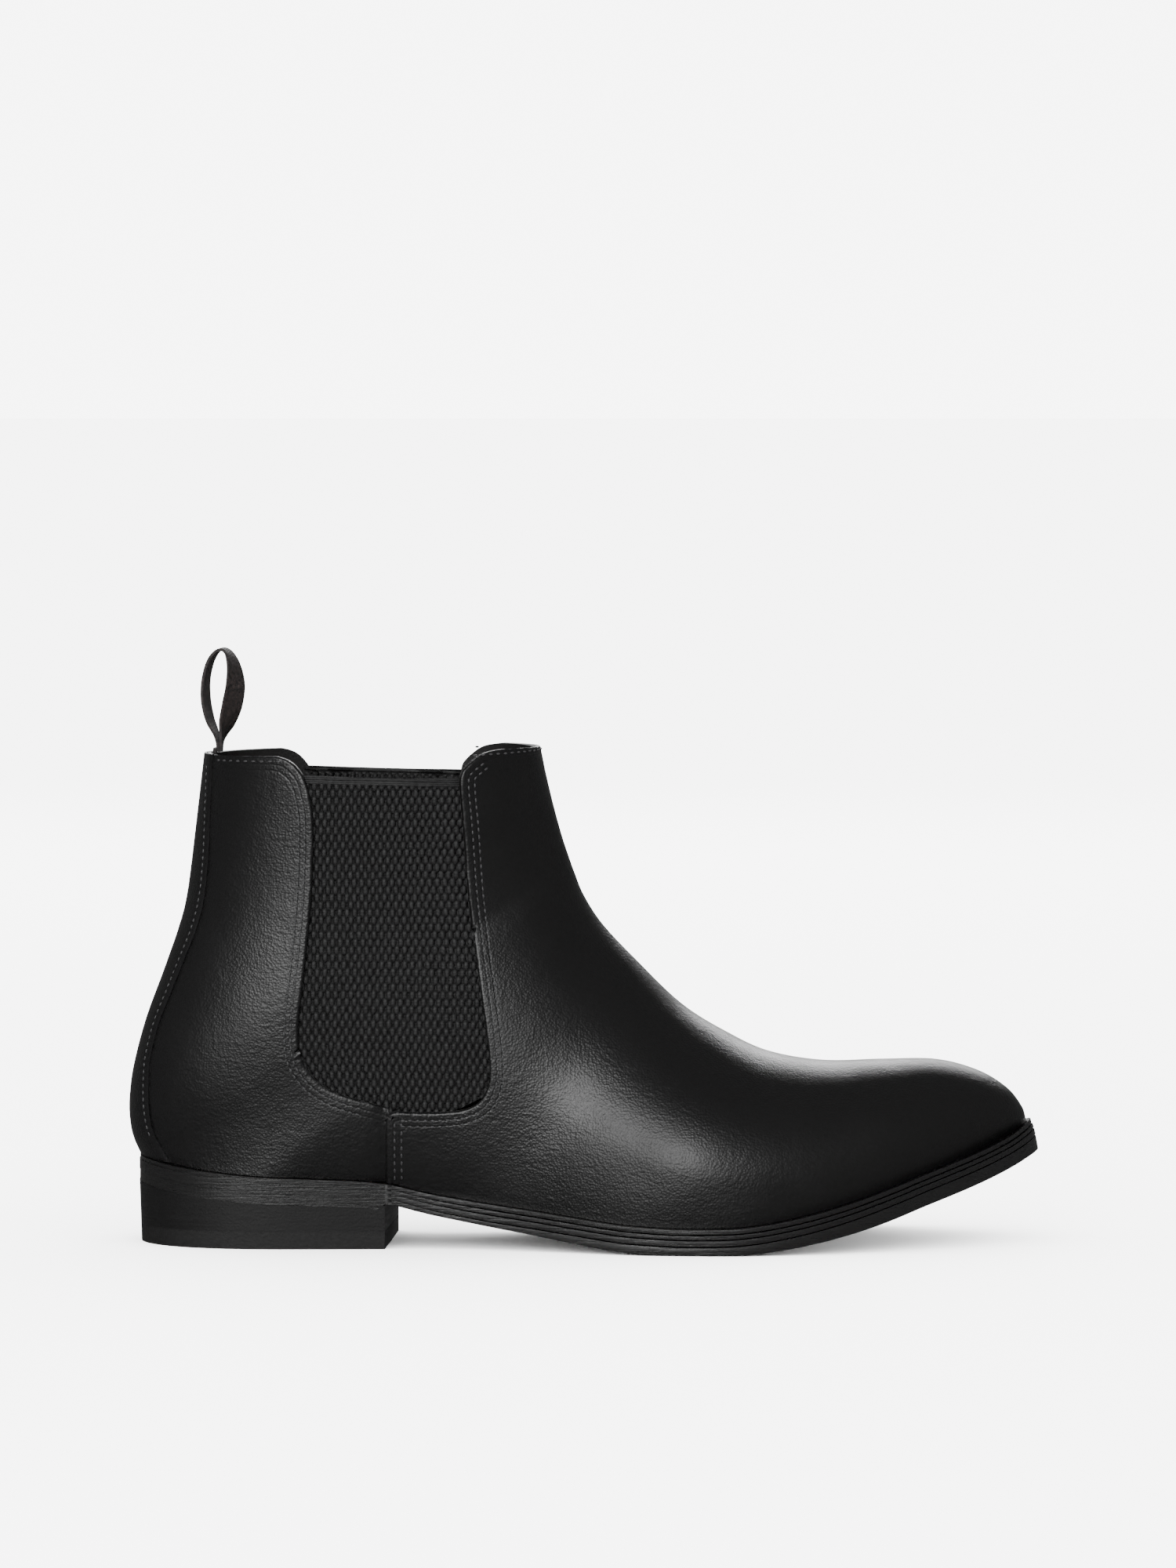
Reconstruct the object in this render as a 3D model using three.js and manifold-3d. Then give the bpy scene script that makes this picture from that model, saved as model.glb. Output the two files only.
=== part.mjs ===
// Chelsea boot for the right foot, men's EU 43, built as it is made: a leather upper cut from separate pieces,
// a lining, stiffeners, elastic gussets, and a welted leather sole with a stacked heel.
// Millimetres. +Z is up, the toe points along +X and the outer (lateral) side of the foot faces -Y.
// Shapes are drawn from the back of the heel curve (x = 0) and the ground (z = 0), then centred by the group.

import * as THREE from "three";
import { mergeVertices } from "three/addons/utils/BufferGeometryUtils.js";
import Module from "manifold-3d";

const wasm = await Module();
wasm.setup();

// ---------------------------------------------------------------- driving dimensions

const MIDDLE_POINT = { x: 152.04, y: -1.97 }; // middle of the boot's length and width
const GAP = 0.3; // clearance between pieces that touch
const FLEX_AXIS = { x: 186, z: 11.4, skewDeg: 12, rangeDeg: 30 };
const COLLAR_CUT = { back: [0, 101.4], front: [62, 153.8] };

// Depths below the outer leather face.
const LEATHER = [0, -1.4];
const ELASTIC = [-1.75, -2.5];
const LINING = [-3.1, -3.9];
const STRIP = [1.2, -0.2];
const STIFFENER = [-1.5, -2.6];

// Sole build-up, as heights below the feather line, where the upper meets the sole.
const INSOLE = [2.4, 0.2];
const WELT = [-0.3, -2.2];
const MIDSOLE = [-2.5, -5.4];
const OUTSOLE = [-5.6, -8.8];
const OUTSOLE_BEVEL = 0.4; // how much lower the tread is than the outsole's bottom edge
const TOE_EXTRA = 1.7; // the outsole is left thicker under the toe, where it wears first
const BEVEL_WIDTH = 9;
const WALL = 4.4; // outer leather face to the edge of the insole
const HEEL_BREAST = 86;
const HEEL_LEVELS = [0, 5.8, 8.8, 11.8]; // tops of the top lift and of the two level lifts

// Side view (x, z) of the front edge of the upper, from the toe tip to the collar, then the two lower runs.
// Each rib runs from a point on that edge across the side of the boot to its foot, on the feather or back line.
// [x, z, y of the ridge, half width outside, half width inside, share of the rib where it is widest,
// front power, back power]
const RIBS = [
  [300.0, 40.0, 6.0, 0.0, 0.0, 0.8, 1.0, 1.0],
  [298.6, 44.2, 6.0, 7.2, 7.0, 0.8, 1.0, 1.0],
  [293.6, 50.4, 6.0, 15.4, 13.2, 0.82, 1.0, 1.0],
  [284.0, 56.2, 5.8, 24.8, 19.4, 0.84, 1.0, 1.0],
  [270.0, 59.9, 5.4, 33.6, 27.2, 0.84, 1.0, 1.0],
  [252.0, 60.0, 4.8, 42.2, 35.4, 0.83, 1.02, 1.0],
  [232.0, 59.7, 4.0, 48.6, 41.2, 0.8, 1.05, 1.0],
  [214.0, 62.8, 3.4, 52.4, 42.6, 0.77, 1.08, 1.0],
  [200.0, 69.2, 3.0, 51.8, 38.8, 0.73, 1.1, 1.0],
  [184.6, 78.9, 2.6, 45.6, 33.6, 0.68, 1.12, 1.0],
  [169.0, 94.0, 2.0, 38.6, 32.0, 0.62, 1.12, 1.0],
  [158.2, 105.6, 1.2, 35.8, 32.6, 0.56, 1.08, 0.95],
  [152.0, 115.2, 0.6, 34.4, 33.2, 0.53, 1.04, 0.84],
  [148.8, 123.0, 0.2, 33.6, 33.2, 0.52, 1.0, 0.8],
  [146.9, 128.4, 0.0, 33.2, 33.0, 0.52, 1.0, 0.79],
  [144.9, 134.4, 0.0, 32.8, 32.6, 0.52, 0.98, 0.81],
  [142.9, 141.4, 0.0, 32.0, 32.0, 0.51, 0.96, 0.86],
  [141.0, 148.8, 0.0, 31.6, 31.6, 0.5, 0.95, 0.88],
  [139.2, 156.6, 0.0, 31.6, 31.6, 0.5, 0.95, 0.9],
  [137.4, 165.5, 0.0, 31.8, 31.8, 0.5, 0.95, 0.9],
];
const FEATHER_RIBS = 14; // ribs 0 to 14 stand on the feather line, the rest on the back line
// x on the feather line where each rib stands.
const RIB_FOOT = [300.2, 297.5, 291, 281, 268, 250, 229, 205, 180, 152, 123, 94, 65, 35, 4.8];
const RIB_BACK = [29.2, 50, 74, 102, 133, 164.2]; // heights on the back line
const HEEL_CLOSING = { rate: 0.012, full: 26, none: 60 }; // how the ribs' feet draw together round the heel

// Plan view (x, y) of the feather line, from the toe tip round to the back of the heel.
const FEATHER_OUTSIDE = [
  [300.2, 6], [297.5, -1], [291, -9], [281, -18.5], [268, -27.5], [250, -36.5], [230, -43.5],
  [210, -47.6], [192, -48.4], [172, -46], [150, -40], [130, -34], [110, -29.8], [90, -28.6],
  [65, -29.6], [45, -29.6], [30, -26], [17, -20.2], [9, -13.4], [5.6, -7], [4.8, 0],
];
const FEATHER_INSIDE = [
  [300.2, 6], [298.3, 11.5], [293, 17], [284, 23], [270, 31], [250, 39], [232, 43.6], [215, 44.6],
  [198, 42.6], [180, 37], [160, 29.8], [140, 23.6], [120, 20.3], [100, 20.6], [80, 23.6],
  [60, 27.2], [45, 28.6], [30, 25.8], [17, 20.2], [9, 13.4], [5.6, 7], [4.8, 0],
];
// Side view (x, z) of the feather line, from heel to toe, and of the back line, from the sole up.
const FEATHER_HEIGHT = [
  [3, 29.2], [15, 27], [29, 25.2], [44, 24], [62, 23.3], [78, 22.6], [86, 21.7], [91, 20.8], [97, 19.3], [105, 17.7],
  [120, 15.4], [137, 13.2], [149, 11.6], [162, 9.9], [173, 9.1], [186, 8.7], [204, 9.2], [221, 11.8],
  [238, 16], [254, 21.2], [265, 25.2], [282, 31], [293, 35.2], [300.2, 38.4], [305, 40.6],
];
const BACK_LINE = [
  [4.8, 29.2], [2.2, 35], [1.1, 41], [1.0, 48], [2.4, 58.5], [6.5, 74], [12.4, 90], [17.8, 105.5],
  [20.6, 117.2], [23.6, 140.7], [26.4, 164.2],
];
// Plan view of the sole's edge.
const SOLE_OUTSIDE = [
  [304.4, 6], [302.6, -0.5], [296.5, -10], [286, -20.5], [271, -31], [251, -40.8], [230, -48], [208, -52],
  [190, -52.4], [170, -49.8], [148, -43.4], [128, -37], [108, -32.8], [90, -31.6], [65, -32.3], [45, -32.2],
  [29, -29.6], [15, -23], [7.2, -14.5], [4, -7], [3.3, 0],
];
const SOLE_INSIDE = [
  [304.4, 6], [303, 12], [297, 19.5], [287, 26.5], [271, 35.5], [251, 43.4], [232, 47.8], [214, 48.6],
  [196, 46.2], [178, 40.2], [158, 32.8], [138, 26.4], [119, 23.2], [100, 23.6], [80, 26.8], [60, 30],
  [44, 31.4], [29, 29.2], [15, 22.8], [7.2, 14.5], [4, 7], [3.3, 0],
];
// Side view of the two leather edges that frame the elastic, and of the collar above it.
const QUARTER_EDGE = [
  [50, 163.2], [53.4, 162.2], [56.6, 159.9], [59.6, 155.6], [61.4, 149], [62.4, 140], [61.9, 120], [60.6, 103],
  [58.9, 87.5], [57.5, 74], [58.1, 64.4], [61.3, 58.8], [66.6, 54.3], [74.2, 50.6], [81.7, 48.6], [86.4, 47.8],
];
const VAMP_EDGE = [
  [86.4, 47.2], [88.2, 45.9], [97, 45.5], [106, 45.7], [112.8, 46.8], [117.4, 49.4], [120, 54], [120.8, 60.3],
  [119.7, 72.5], [116.6, 95.3], [114, 117], [112.5, 138], [111.3, 152], [111.6, 157], [113.4, 159.8],
  [117.6, 163.2], [121, 164.6], [126, 165.4],
];
// Side view of the edge of the strip that covers the back seam, from the sole up.
const STRIP_EDGE = [
  [14.6, 27.8], [9.6, 36], [7.7, 44], [7.4, 54], [8.2, 63], [11, 74], [15, 84], [19.4, 95], [23.4, 105],
  [26, 115], [27.4, 128], [28.1, 145], [28.8, 163],
];

// ---------------------------------------------------------------- curves and the last

// Catmull-Rom through rows of numbers; t counts rows.
function along(rows, t) {
  const i = Math.max(0, Math.min(Math.floor(t), rows.length - 2));
  const f = t - i;
  const [a, b, c, d] = [i - 1, i, i + 1, i + 2].map((k) => rows[Math.max(0, Math.min(k, rows.length - 1))]);
  return b.map((v, k) => {
    const slope = c[k] - a[k];
    const bend = 2 * a[k] - 5 * v + 4 * c[k] - d[k];
    const twist = 3 * v - a[k] - 3 * c[k] + d[k];
    return v + 0.5 * f * (slope + f * (bend + f * twist));
  });
}

// The value in column `wanted` where column `key` of a monotone curve equals `value`.
function lookUp(rows, key, value, wanted) {
  let [low, high] = [0, rows.length - 1];
  const rising = rows[high][key] > rows[0][key];
  for (let n = 0; n < 40; n++) {
    const middle = (low + high) / 2;
    if (along(rows, middle)[key] < value === rising) low = middle;
    else high = middle;
  }
  return along(rows, (low + high) / 2)[wanted];
}

const featherHeight = (x) => lookUp(FEATHER_HEIGHT, 0, x, 1);
const rows1 = (list) => list.map((v) => [v]);
const smooth = (points, steps) =>
  Array.from({ length: (points.length - 1) * steps + 1 }, (_, i) => along(points, i / steps));

// Where rib u stands, on the outer (-1) or inner (1) side.
function ribFoot(u, side) {
  if (u > FEATHER_RIBS) {
    const z = along(rows1(RIB_BACK), u - FEATHER_RIBS)[0];
    return [lookUp(BACK_LINE, 1, z, 0), 0, z];
  }
  const x = along(rows1(RIB_FOOT), u)[0];
  return [x, lookUp(side < 0 ? FEATHER_OUTSIDE : FEATHER_INSIDE, 0, x, 1), featherHeight(x)];
}

// How far round its rear arc a rib goes before it meets its foot: 1 when it closes on the middle line.
function ribReach(u, footX, share, power) {
  if (u >= FEATHER_RIBS) return 1;
  const reach = Math.sqrt(Math.max(1 - Math.pow(Math.min(share, 1), 2 / power), 0));
  const { rate, full, none } = HEEL_CLOSING;
  const t = Math.min(Math.max((footX - full) / (none - full), 0), 1);
  const closing = 1 - rate * (footX - RIB_FOOT[FEATHER_RIBS]);
  return closing + (reach - closing) * t * t * (3 - 2 * t);
}

// A point of the outer face: u counts ribs from the toe, w runs from the ridge (0) to the rib's foot (1).
function facePoint(u, w, side) {
  const [x, z, ridge, outside, inside, widest, frontPower, backPower] = along(RIBS, u);
  const foot = ribFoot(u, side);
  const half = Math.max(side < 0 ? outside : inside, Math.abs(foot[1] - ridge) * 1.01, 1e-3);
  const reach = ribReach(u, foot[0], Math.abs(foot[1] - ridge) / half, backPower);
  const angle = w * Math.acos(-reach);
  const front = angle < Math.PI / 2;
  const out = half * Math.pow(Math.max(Math.sin(angle), 0), front ? frontPower : backPower);
  const rearShare = widest - ((1 - widest) * Math.cos(angle)) / Math.max(reach, 1e-6);
  const share = front ? widest * (1 - Math.cos(angle)) : rearShare;
  return new THREE.Vector3(x + (foot[0] - x) * share, ridge + side * out, z + (foot[2] - z) * share);
}

// The same point moved along the face's normal by `depth`. v runs from -1, the outer foot, over the ridge to 1.
const TOE_NORMAL = new THREE.Vector3(0.87, 0, 0.5);
function face(u, v, depth) {
  const at = (a, b) => facePoint(a, Math.abs(b), b < 0 ? -1 : 1);
  const here = at(u, v);
  if (u < 0.02) return here.addScaledVector(TOE_NORMAL, depth);
  const [du, dv] = [0.02, 0.01];
  const [u0, u1] = [Math.max(u - du, 0.01), Math.min(u + du, RIBS.length - 1)];
  const [v0, v1] = [Math.max(v - dv, -1), Math.min(v + dv, 1)];
  const alongToe = at(u1, v).sub(at(u0, v));
  const across = at(u, v1).sub(at(u, v0));
  return here.addScaledVector(alongToe.cross(across).normalize(), -depth);
}

// Finds (u, w) of the point of the outer face seen at (x, z) from the side.
function faceUnder(x, z, side) {
  const left = (u) => {
    const [xa, za] = along(RIBS, u);
    const [xb, , zb] = ribFoot(u, side);
    return (xb - xa) * (z - za) - (zb - za) * (x - xa);
  };
  let [low, high] = [0.05, RIBS.length - 1];
  for (let n = 0; n < 40; n++) {
    const middle = (low + high) / 2;
    if (left(middle) < 0) low = middle;
    else high = middle;
  }
  const u = (low + high) / 2;
  let [near, far] = [0, 1];
  for (let n = 0; n < 40; n++) {
    const middle = (near + far) / 2;
    const p = facePoint(u, middle, side);
    const foot = ribFoot(u, side);
    if (Math.hypot(p.x - foot[0], p.z - foot[2]) > Math.hypot(x - foot[0], z - foot[2])) near = middle;
    else far = middle;
  }
  return [u, (near + far) / 2];
}

// ---------------------------------------------------------------- solids

function solidFrom(points, triangles) {
  const geometry = new THREE.BufferGeometry();
  geometry.setAttribute("position", new THREE.Float32BufferAttribute(points.flatMap((p) => [p.x, p.y, p.z]), 3));
  geometry.setIndex(triangles);
  return solidOf(geometry);
}

function solidOf(geometry) {
  const bare = geometry.clone();
  bare.deleteAttribute("normal");
  bare.deleteAttribute("uv");
  const merged = mergeVertices(bare, 1e-3);
  const index = [];
  for (let i = 0; i < merged.index.count; i += 3) {
    const t = [0, 1, 2].map((k) => merged.index.getX(i + k));
    if (new Set(t).size === 3) index.push(...t);
  }
  const build = (triVerts) =>
    new wasm.Manifold(new wasm.Mesh({ numProp: 3, vertProperties: merged.attributes.position.array, triVerts }));
  const solid = build(new Uint32Array(index));
  return solid.volume() > 0 ? solid : build(new Uint32Array(index).reverse());
}

function geometryOf(solid) {
  const mesh = solid.getMesh();
  const geometry = new THREE.BufferGeometry();
  geometry.setAttribute("position", new THREE.BufferAttribute(new Float32Array(mesh.vertProperties), 3));
  geometry.setIndex(new THREE.BufferAttribute(new Uint32Array(mesh.triVerts), 1));
  geometry.computeVertexNormals();
  return geometry;
}

// A closed solid between two grids of points: rows of equal length, outer and inner.
function slab(outer, inner) {
  const [rows, cols] = [outer.length, outer[0].length];
  const points = [...outer.flat(), ...inner.flat()];
  const at = (layer, i, j) => layer * rows * cols + i * cols + j;
  const triangles = [];
  const quad = (a, b, c, d) => triangles.push(a, b, c, a, c, d);
  for (let i = 0; i < rows - 1; i++) {
    for (let j = 0; j < cols - 1; j++) {
      quad(at(0, i, j), at(0, i, j + 1), at(0, i + 1, j + 1), at(0, i + 1, j));
      quad(at(1, i, j), at(1, i + 1, j), at(1, i + 1, j + 1), at(1, i, j + 1));
    }
    quad(at(0, i, 0), at(0, i + 1, 0), at(1, i + 1, 0), at(1, i, 0));
    quad(at(0, i + 1, cols - 1), at(0, i, cols - 1), at(1, i, cols - 1), at(1, i + 1, cols - 1));
  }
  for (let j = 0; j < cols - 1; j++) {
    quad(at(0, 0, j + 1), at(0, 0, j), at(1, 0, j), at(1, 0, j + 1));
    quad(at(0, rows - 1, j), at(0, rows - 1, j + 1), at(1, rows - 1, j + 1), at(1, rows - 1, j));
  }
  return solidFrom(points, triangles);
}

// The wall of the upper between two depths, over the ribs and across the shares given.
function wall([outerDepth, innerDepth], ribs, shares) {
  const grid = (depth) => ribs.map((u) => shares.map((v) => face(u, v, depth)));
  return slab(grid(outerDepth), grid(innerDepth));
}

// Everything inside an outline in side view; skewed about the flex axis if asked.
function prism(outline, fromY = -80, toY = 80, skewDeg = 0) {
  const shape = new THREE.Shape(outline.map(([x, z]) => new THREE.Vector2(x, z)));
  const geometry = new THREE.ExtrudeGeometry(shape, { depth: toY - fromY, bevelEnabled: false });
  geometry.rotateX(Math.PI / 2).translate(0, toY, 0);
  if (skewDeg) {
    geometry.translate(-FLEX_AXIS.x, 0, 0);
    geometry.rotateZ(-THREE.MathUtils.degToRad(skewDeg)).translate(FLEX_AXIS.x, 0, 0);
  }
  return solidOf(geometry);
}

const largest = (solid) => solid.decompose().sort((a, b) => b.volume() - a.volume())[0];

// ---------------------------------------------------------------- cutting lines

const FAR = 400;
const windowOutline = [...smooth(QUARTER_EDGE, 2), ...smooth(VAMP_EDGE, 2), [126, 200], [50, 200]];
const elasticWindow = prism(windowOutline);

const SEAM = 86.4; // where the vamp meets the quarters, below the elastic
const behindSeam = prism([[SEAM + GAP, -10], [SEAM + GAP, 60], [80, 230], [-50, 230], [-50, -10]]);
const frontOfSeam = prism([[SEAM, -10], [FAR, -10], [FAR, 230], [SEAM - 6, 230], [SEAM, 60]]);

const leanTangent = Math.tan(THREE.MathUtils.degToRad(FLEX_AXIS.rangeDeg + 1));
const flexFront = (lean, gap) => {
  const { x, z } = FLEX_AXIS;
  return [[x + gap, -20], [x + gap, z], [x + gap + 150 * lean, z + 150], [FAR, z + 150], [FAR, -20]];
};
const aheadOfFlex = prism(flexFront(leanTangent, 0.2), -90, 90, FLEX_AXIS.skewDeg);
const aheadOfFlexWithGap = prism(flexFront(leanTangent, -0.2), -90, 90, FLEX_AXIS.skewDeg);
const soleAhead = prism(flexFront(0, 0.2), -90, 90, FLEX_AXIS.skewDeg);
const soleAheadWithGap = prism(flexFront(0, -0.2), -90, 90, FLEX_AXIS.skewDeg);

const collarArea = (gap) => {
  const { back, front } = COLLAR_CUT;
  return prism([[back[0] - 20, back[1] - 17 + gap], [front[0], front[1] + gap], [front[0], 230], [-20, 230]]);
};
const collarTop = collarArea(0.15);
const collarTopWithGap = collarArea(-0.15);

// ---------------------------------------------------------------- pieces of the upper

const spread = (from, to, count) =>
  Array.from({ length: count }, (_, i) => from + ((to - from) * i) / (count - 1));
const LAST_RIB = RIBS.length - 1;

// Shared grid of the leather, so that neighbouring layers stay parallel.
const SHARES = [0.1, 0.2, 0.3, 0.38, 0.46, 0.54, 0.61, 0.68, 0.75, 0.81, 0.86, 0.9, 0.935, 0.965, 0.988];
const SIDE_SHARES = SHARES.slice(2);
const REAR_RIBS = [9, 10, 10.8, 11.6, 12.4, 13.2, 14, 14.5, 15, 15.7, 16.4, 17.2, 18, LAST_RIB];
const FRONT_RIBS = [0, 0.5, 1, 1.5, 2, 3, 4, 5, 6, 7, 8, 9, 10];
const LINING_RIBS = [9, 10.5, 12, 13, 14, 15, 16.3, 17.6, LAST_RIB];
const bothSides = (shares) => [...shares.map((v) => -v).reverse(), 0, ...shares];
const everyOther = (list) => list.filter((_, i) => i % 2 === 0);
const onSide = (side, shares) => (side < 0 ? shares.map((v) => -v) : shares);

function vampPieces(layer, name, ribs, shares) {
  const toe = wall(layer, FRONT_RIBS, bothSides(everyOther(SHARES))).intersect(aheadOfFlex);
  const rear = wall(layer, [5, 6, 7, 8, ...ribs], bothSides(shares));
  return {
    [name]: rear.subtract(behindSeam).subtract(elasticWindow).subtract(aheadOfFlexWithGap),
    [`${name}_toe`]: largest(toe),
  };
}

function quarterPieces(layer, name, ribs, shares) {
  const made = {};
  for (const [side, word] of [[-1, "lateral"], [1, "medial"]]) {
    const quarter = wall(layer, ribs, onSide(side, shares)).subtract(frontOfSeam).subtract(elasticWindow);
    made[`${name}_${word}`] = quarter.subtract(collarTopWithGap);
    made[`${name}_top_${word}`] = quarter.intersect(collarTop);
  }
  return made;
}

// The room the rear leather takes up, with some clearance.
const rearLeatherRoom = [-1, 1].map((side) =>
  wall([0.25, LEATHER[1] - 0.25], REAR_RIBS, onSide(side, SIDE_SHARES)),
);
const clearOfRearLeather = (solid) => rearLeatherRoom.reduce((rest, room) => rest.subtract(room), solid);

// The toe puff and the heel counter stand between leather and lining.
function toePuff() {
  return wall([-1.8, -2.5], [0.5, 1, 2, 3, 4, 5], bothSides(everyOther(SHARES).slice(0, -1)));
}

function heelCounter() {
  const cup = [];
  for (const depth of STIFFENER) {
    const rows = spread(33, 70, 6).map((z) =>
      spread(-1, 1, 25).map((t) => {
        const reach = 62 - 0.35 * (z - 33);
        const back = lookUp(BACK_LINE, 1, z, 0);
        const x = back + (reach - back) * (1 - Math.cos((Math.abs(t) * Math.PI) / 2));
        return sidePoint(x, z, t < 0 ? -1 : 1, depth);
      }),
    );
    cup.push(rows);
  }
  return largest(clearOfRearLeather(slab(cup[0], cup[1])));
}

// The point of the upper at (x, z) in side view, at a depth.
function sidePoint(x, z, side, depth) {
  const [u, w] = faceUnder(x, z, side);
  return face(u, side * Math.min(w, 0.9999), depth);
}

function backStripPieces() {
  const grid = (depth) =>
    STRIP_EDGE.map(([edge, z]) =>
      spread(-1, 1, 9).map((t) => {
        const back = lookUp(BACK_LINE, 1, Math.max(z, 29.3), 0);
        const x = back + (edge - back) * (1 - Math.cos((Math.abs(t) * Math.PI) / 2));
        const low = Math.max(z, featherHeight(x) + 0.4);
        return sidePoint(Math.max(x, back + 0.002), low, t < 0 ? -1 : 1, depth);
      }),
    );
  const strip = largest(clearOfRearLeather(slab(grid(STRIP[0]), grid(STRIP[1]))));
  return { back_strip: strip.subtract(collarTopWithGap), back_strip_top: strip.intersect(collarTop) };
}

// The elastic reaches under the leather all round.
const ELASTIC_OUTLINE = [
  [55.6, 157.5], [57.5, 137], [57.3, 118], [55.5, 96], [53.4, 74], [54.4, 62], [58, 55.5], [65, 50.2], [76, 45.4],
  [92, 42], [106, 41.6], [115, 43.2], [121.5, 47.4], [124.6, 55], [124.4, 66], [121, 92], [118.2, 117],
  [116.6, 140], [115.6, 156.4],
];
const elasticArea = prism(ELASTIC_OUTLINE);
function gusset(side, layer = ELASTIC) {
  return wall(layer, REAR_RIBS, onSide(side, SHARES.slice(1, 11))).intersect(elasticArea);
}

// ---------------------------------------------------------------- pull loop

const LOOP_WIDTH = 10;
const LOOP_THICK = 1.1;
// Side view of the middle of the webbing, from the back end of the loop over the top to its front end.
const LOOP_LINE = [
  [29.9, 166.4], [29.2, 169.5], [26.8, 174], [25.3, 180], [25.9, 187], [28.4, 193.4], [31.4, 197.4],
  [34, 193.4], [36.1, 187], [36.3, 180], [34.2, 174], [31.9, 169.5], [31.3, 166.4],
];

function pullLoop() {
  const line = smooth(LOOP_LINE, 3);
  const offset = (side) =>
    line.map(([x, z], i) => {
      const [from, to] = [line[Math.max(i - 1, 0)], line[Math.min(i + 1, line.length - 1)]];
      const [dx, dz] = [to[0] - from[0], to[1] - from[1]];
      const scale = (side * LOOP_THICK) / 2 / Math.hypot(dx, dz);
      return [x - dz * scale, z + dx * scale];
    });
  return prism([...offset(1), ...offset(-1).reverse()], -LOOP_WIDTH / 2, LOOP_WIDTH / 2);
}

// The sewn end of the loop, held between the quarters and their lining.
function pullLoopTab() {
  const rows = [150, 156, 162, 164.6];
  const grid = (shift) =>
    rows.map((z) => {
      const back = lookUp(BACK_LINE, 1, Math.min(z, 164), 0);
      return spread(-LOOP_WIDTH / 2, LOOP_WIDTH / 2, 3).map(
        (y) => new THREE.Vector3(back + 1.85 + 0.024 * y * y + shift, y, z));
    });
  return slab(grid(0), grid(0.75));
}

// ---------------------------------------------------------------- sole

// Half of a plan outline as a list of stations: [x, y outside, y inside].
function stations(outside, inside, xs, inset = 0) {
  const [tail, tip] = [outside[outside.length - 1][0], outside[0][0]];
  return xs.map((x) => {
    const [left, right] = [lookUp(outside, 0, x, 1), lookUp(inside, 0, x, 1)];
    const middle = (left + right) / 2;
    const half = Math.max((right - left) / 2 - inset, 0.4);
    const squeeze = (tip - tail - 2 * inset) / (tip - tail);
    return [tail + inset + (x - tail) * squeeze, middle - half, middle + half];
  });
}

// Stations crowd together where the outline turns at the heel and at the toe.
function soleStations(tail, tip, count = 35) {
  const heelTurn = [0, 0.6, 2, 4.4, 8, 13, 20, 29];
  const toeTurn = [24, 15.5, 9.5, 5.4, 2.6, 0.8, 0];
  const straight = spread(tail + 42, tip - 36, count - 15);
  return [...heelTurn.map((d) => tail + d), ...straight, ...toeTurn.map((d) => tip - d)];
}
const SOLE_XS = soleStations(3.32, 304.38);
const FEATHER_PLAN = [FEATHER_OUTSIDE, FEATHER_INSIDE];
const INSOLE_XS = soleStations(4.82, 300.18, 31);

// A layer of the sole: flat across, following the feather line along the foot.
function soleLayer([top, bottom], inset = 0, outlines = [SOLE_OUTSIDE, SOLE_INSIDE], xs = SOLE_XS) {
  const grid = (drop) =>
    stations(...outlines, xs, inset).map(([x, left, right]) =>
      [left, (left + right) / 2, right].map((y) => new THREE.Vector3(x, y, featherHeight(x) + drop)),
    );
  return slab(grid(top), grid(bottom));
}

// The outsole's tread bulges below its edge, and lies flat on the ground under the ball.
function outsoleLayer() {
  const plan = stations(SOLE_OUTSIDE, SOLE_INSIDE, SOLE_XS);
  const top = plan.map(([x, left, right]) =>
    spread(left, right, 5).map((y) => new THREE.Vector3(x, y, featherHeight(x) + OUTSOLE[0])),
  );
  const bottom = plan.map(([x, left, right]) => {
    const towardToe = Math.min(Math.max((x - 205) / 45, 0), 1);
    const edge = Math.max(featherHeight(x) + OUTSOLE[1] - TOE_EXTRA * towardToe, OUTSOLE_BEVEL);
    const fromEnds = Math.min(1, (x - HEEL_BREAST - 4) / 60, (296 - x) / 60);
    const bulge = OUTSOLE_BEVEL * Math.max(fromEnds, 0);
    const bevel = Math.min(BEVEL_WIDTH, (right - left) / 3);
    const ys = [left, left + bevel, (left + right) / 2, right - bevel, right];
    return ys.map((y, j) => new THREE.Vector3(x, y, j === 0 || j === 4 ? edge : edge - bulge));
  });
  return slab(top, bottom);
}

// A ring of the sole: the layer's rim, from the sole's edge in under the wall of the upper.
function soleRing(layer) {
  const core = soleLayer([layer[0] + 5, layer[1] - 5], 3.9 + 4);
  return soleLayer(layer).subtract(core);
}

const HEEL_XS = [3.32, 3.9, 5.3, 7.7, 11.3, 16.3, 23.3, 32.3, 45, 58, 72, HEEL_BREAST];
const BREAST_SLANT = 3.4; // the breast stands this much further forward on the inner side

function heelPart(bottomOf, topOf) {
  const taper = (z) => 0.035 * Math.max(0, 20 - z);
  const grid = (heightOf) =>
    stations(SOLE_OUTSIDE, SOLE_INSIDE, HEEL_XS).map(([x, left, right]) =>
      [0, 0.5, 1].map((t) => {
        const at = x === HEEL_BREAST ? x + BREAST_SLANT * t : x;
        const z = heightOf(at);
        const inwards = (1 - x / HEEL_BREAST) * taper(z);
        return new THREE.Vector3(at + inwards, left + taper(z) + (right - left - 2 * taper(z)) * t, z);
      }),
    );
  return slab(grid(topOf), grid(bottomOf));
}

const NAIL_PLACES = [[14, 0], [24, -17], [24, 17], [48, -22], [48, 21], [72, -21], [72, 17]];
const nailSolid = (x, y, radius, from, to) => {
  const pin = new THREE.CylinderGeometry(radius, radius, to - from, 8);
  return solidOf(pin.rotateX(Math.PI / 2).translate(x, y, (from + to) / 2));
};

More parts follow.
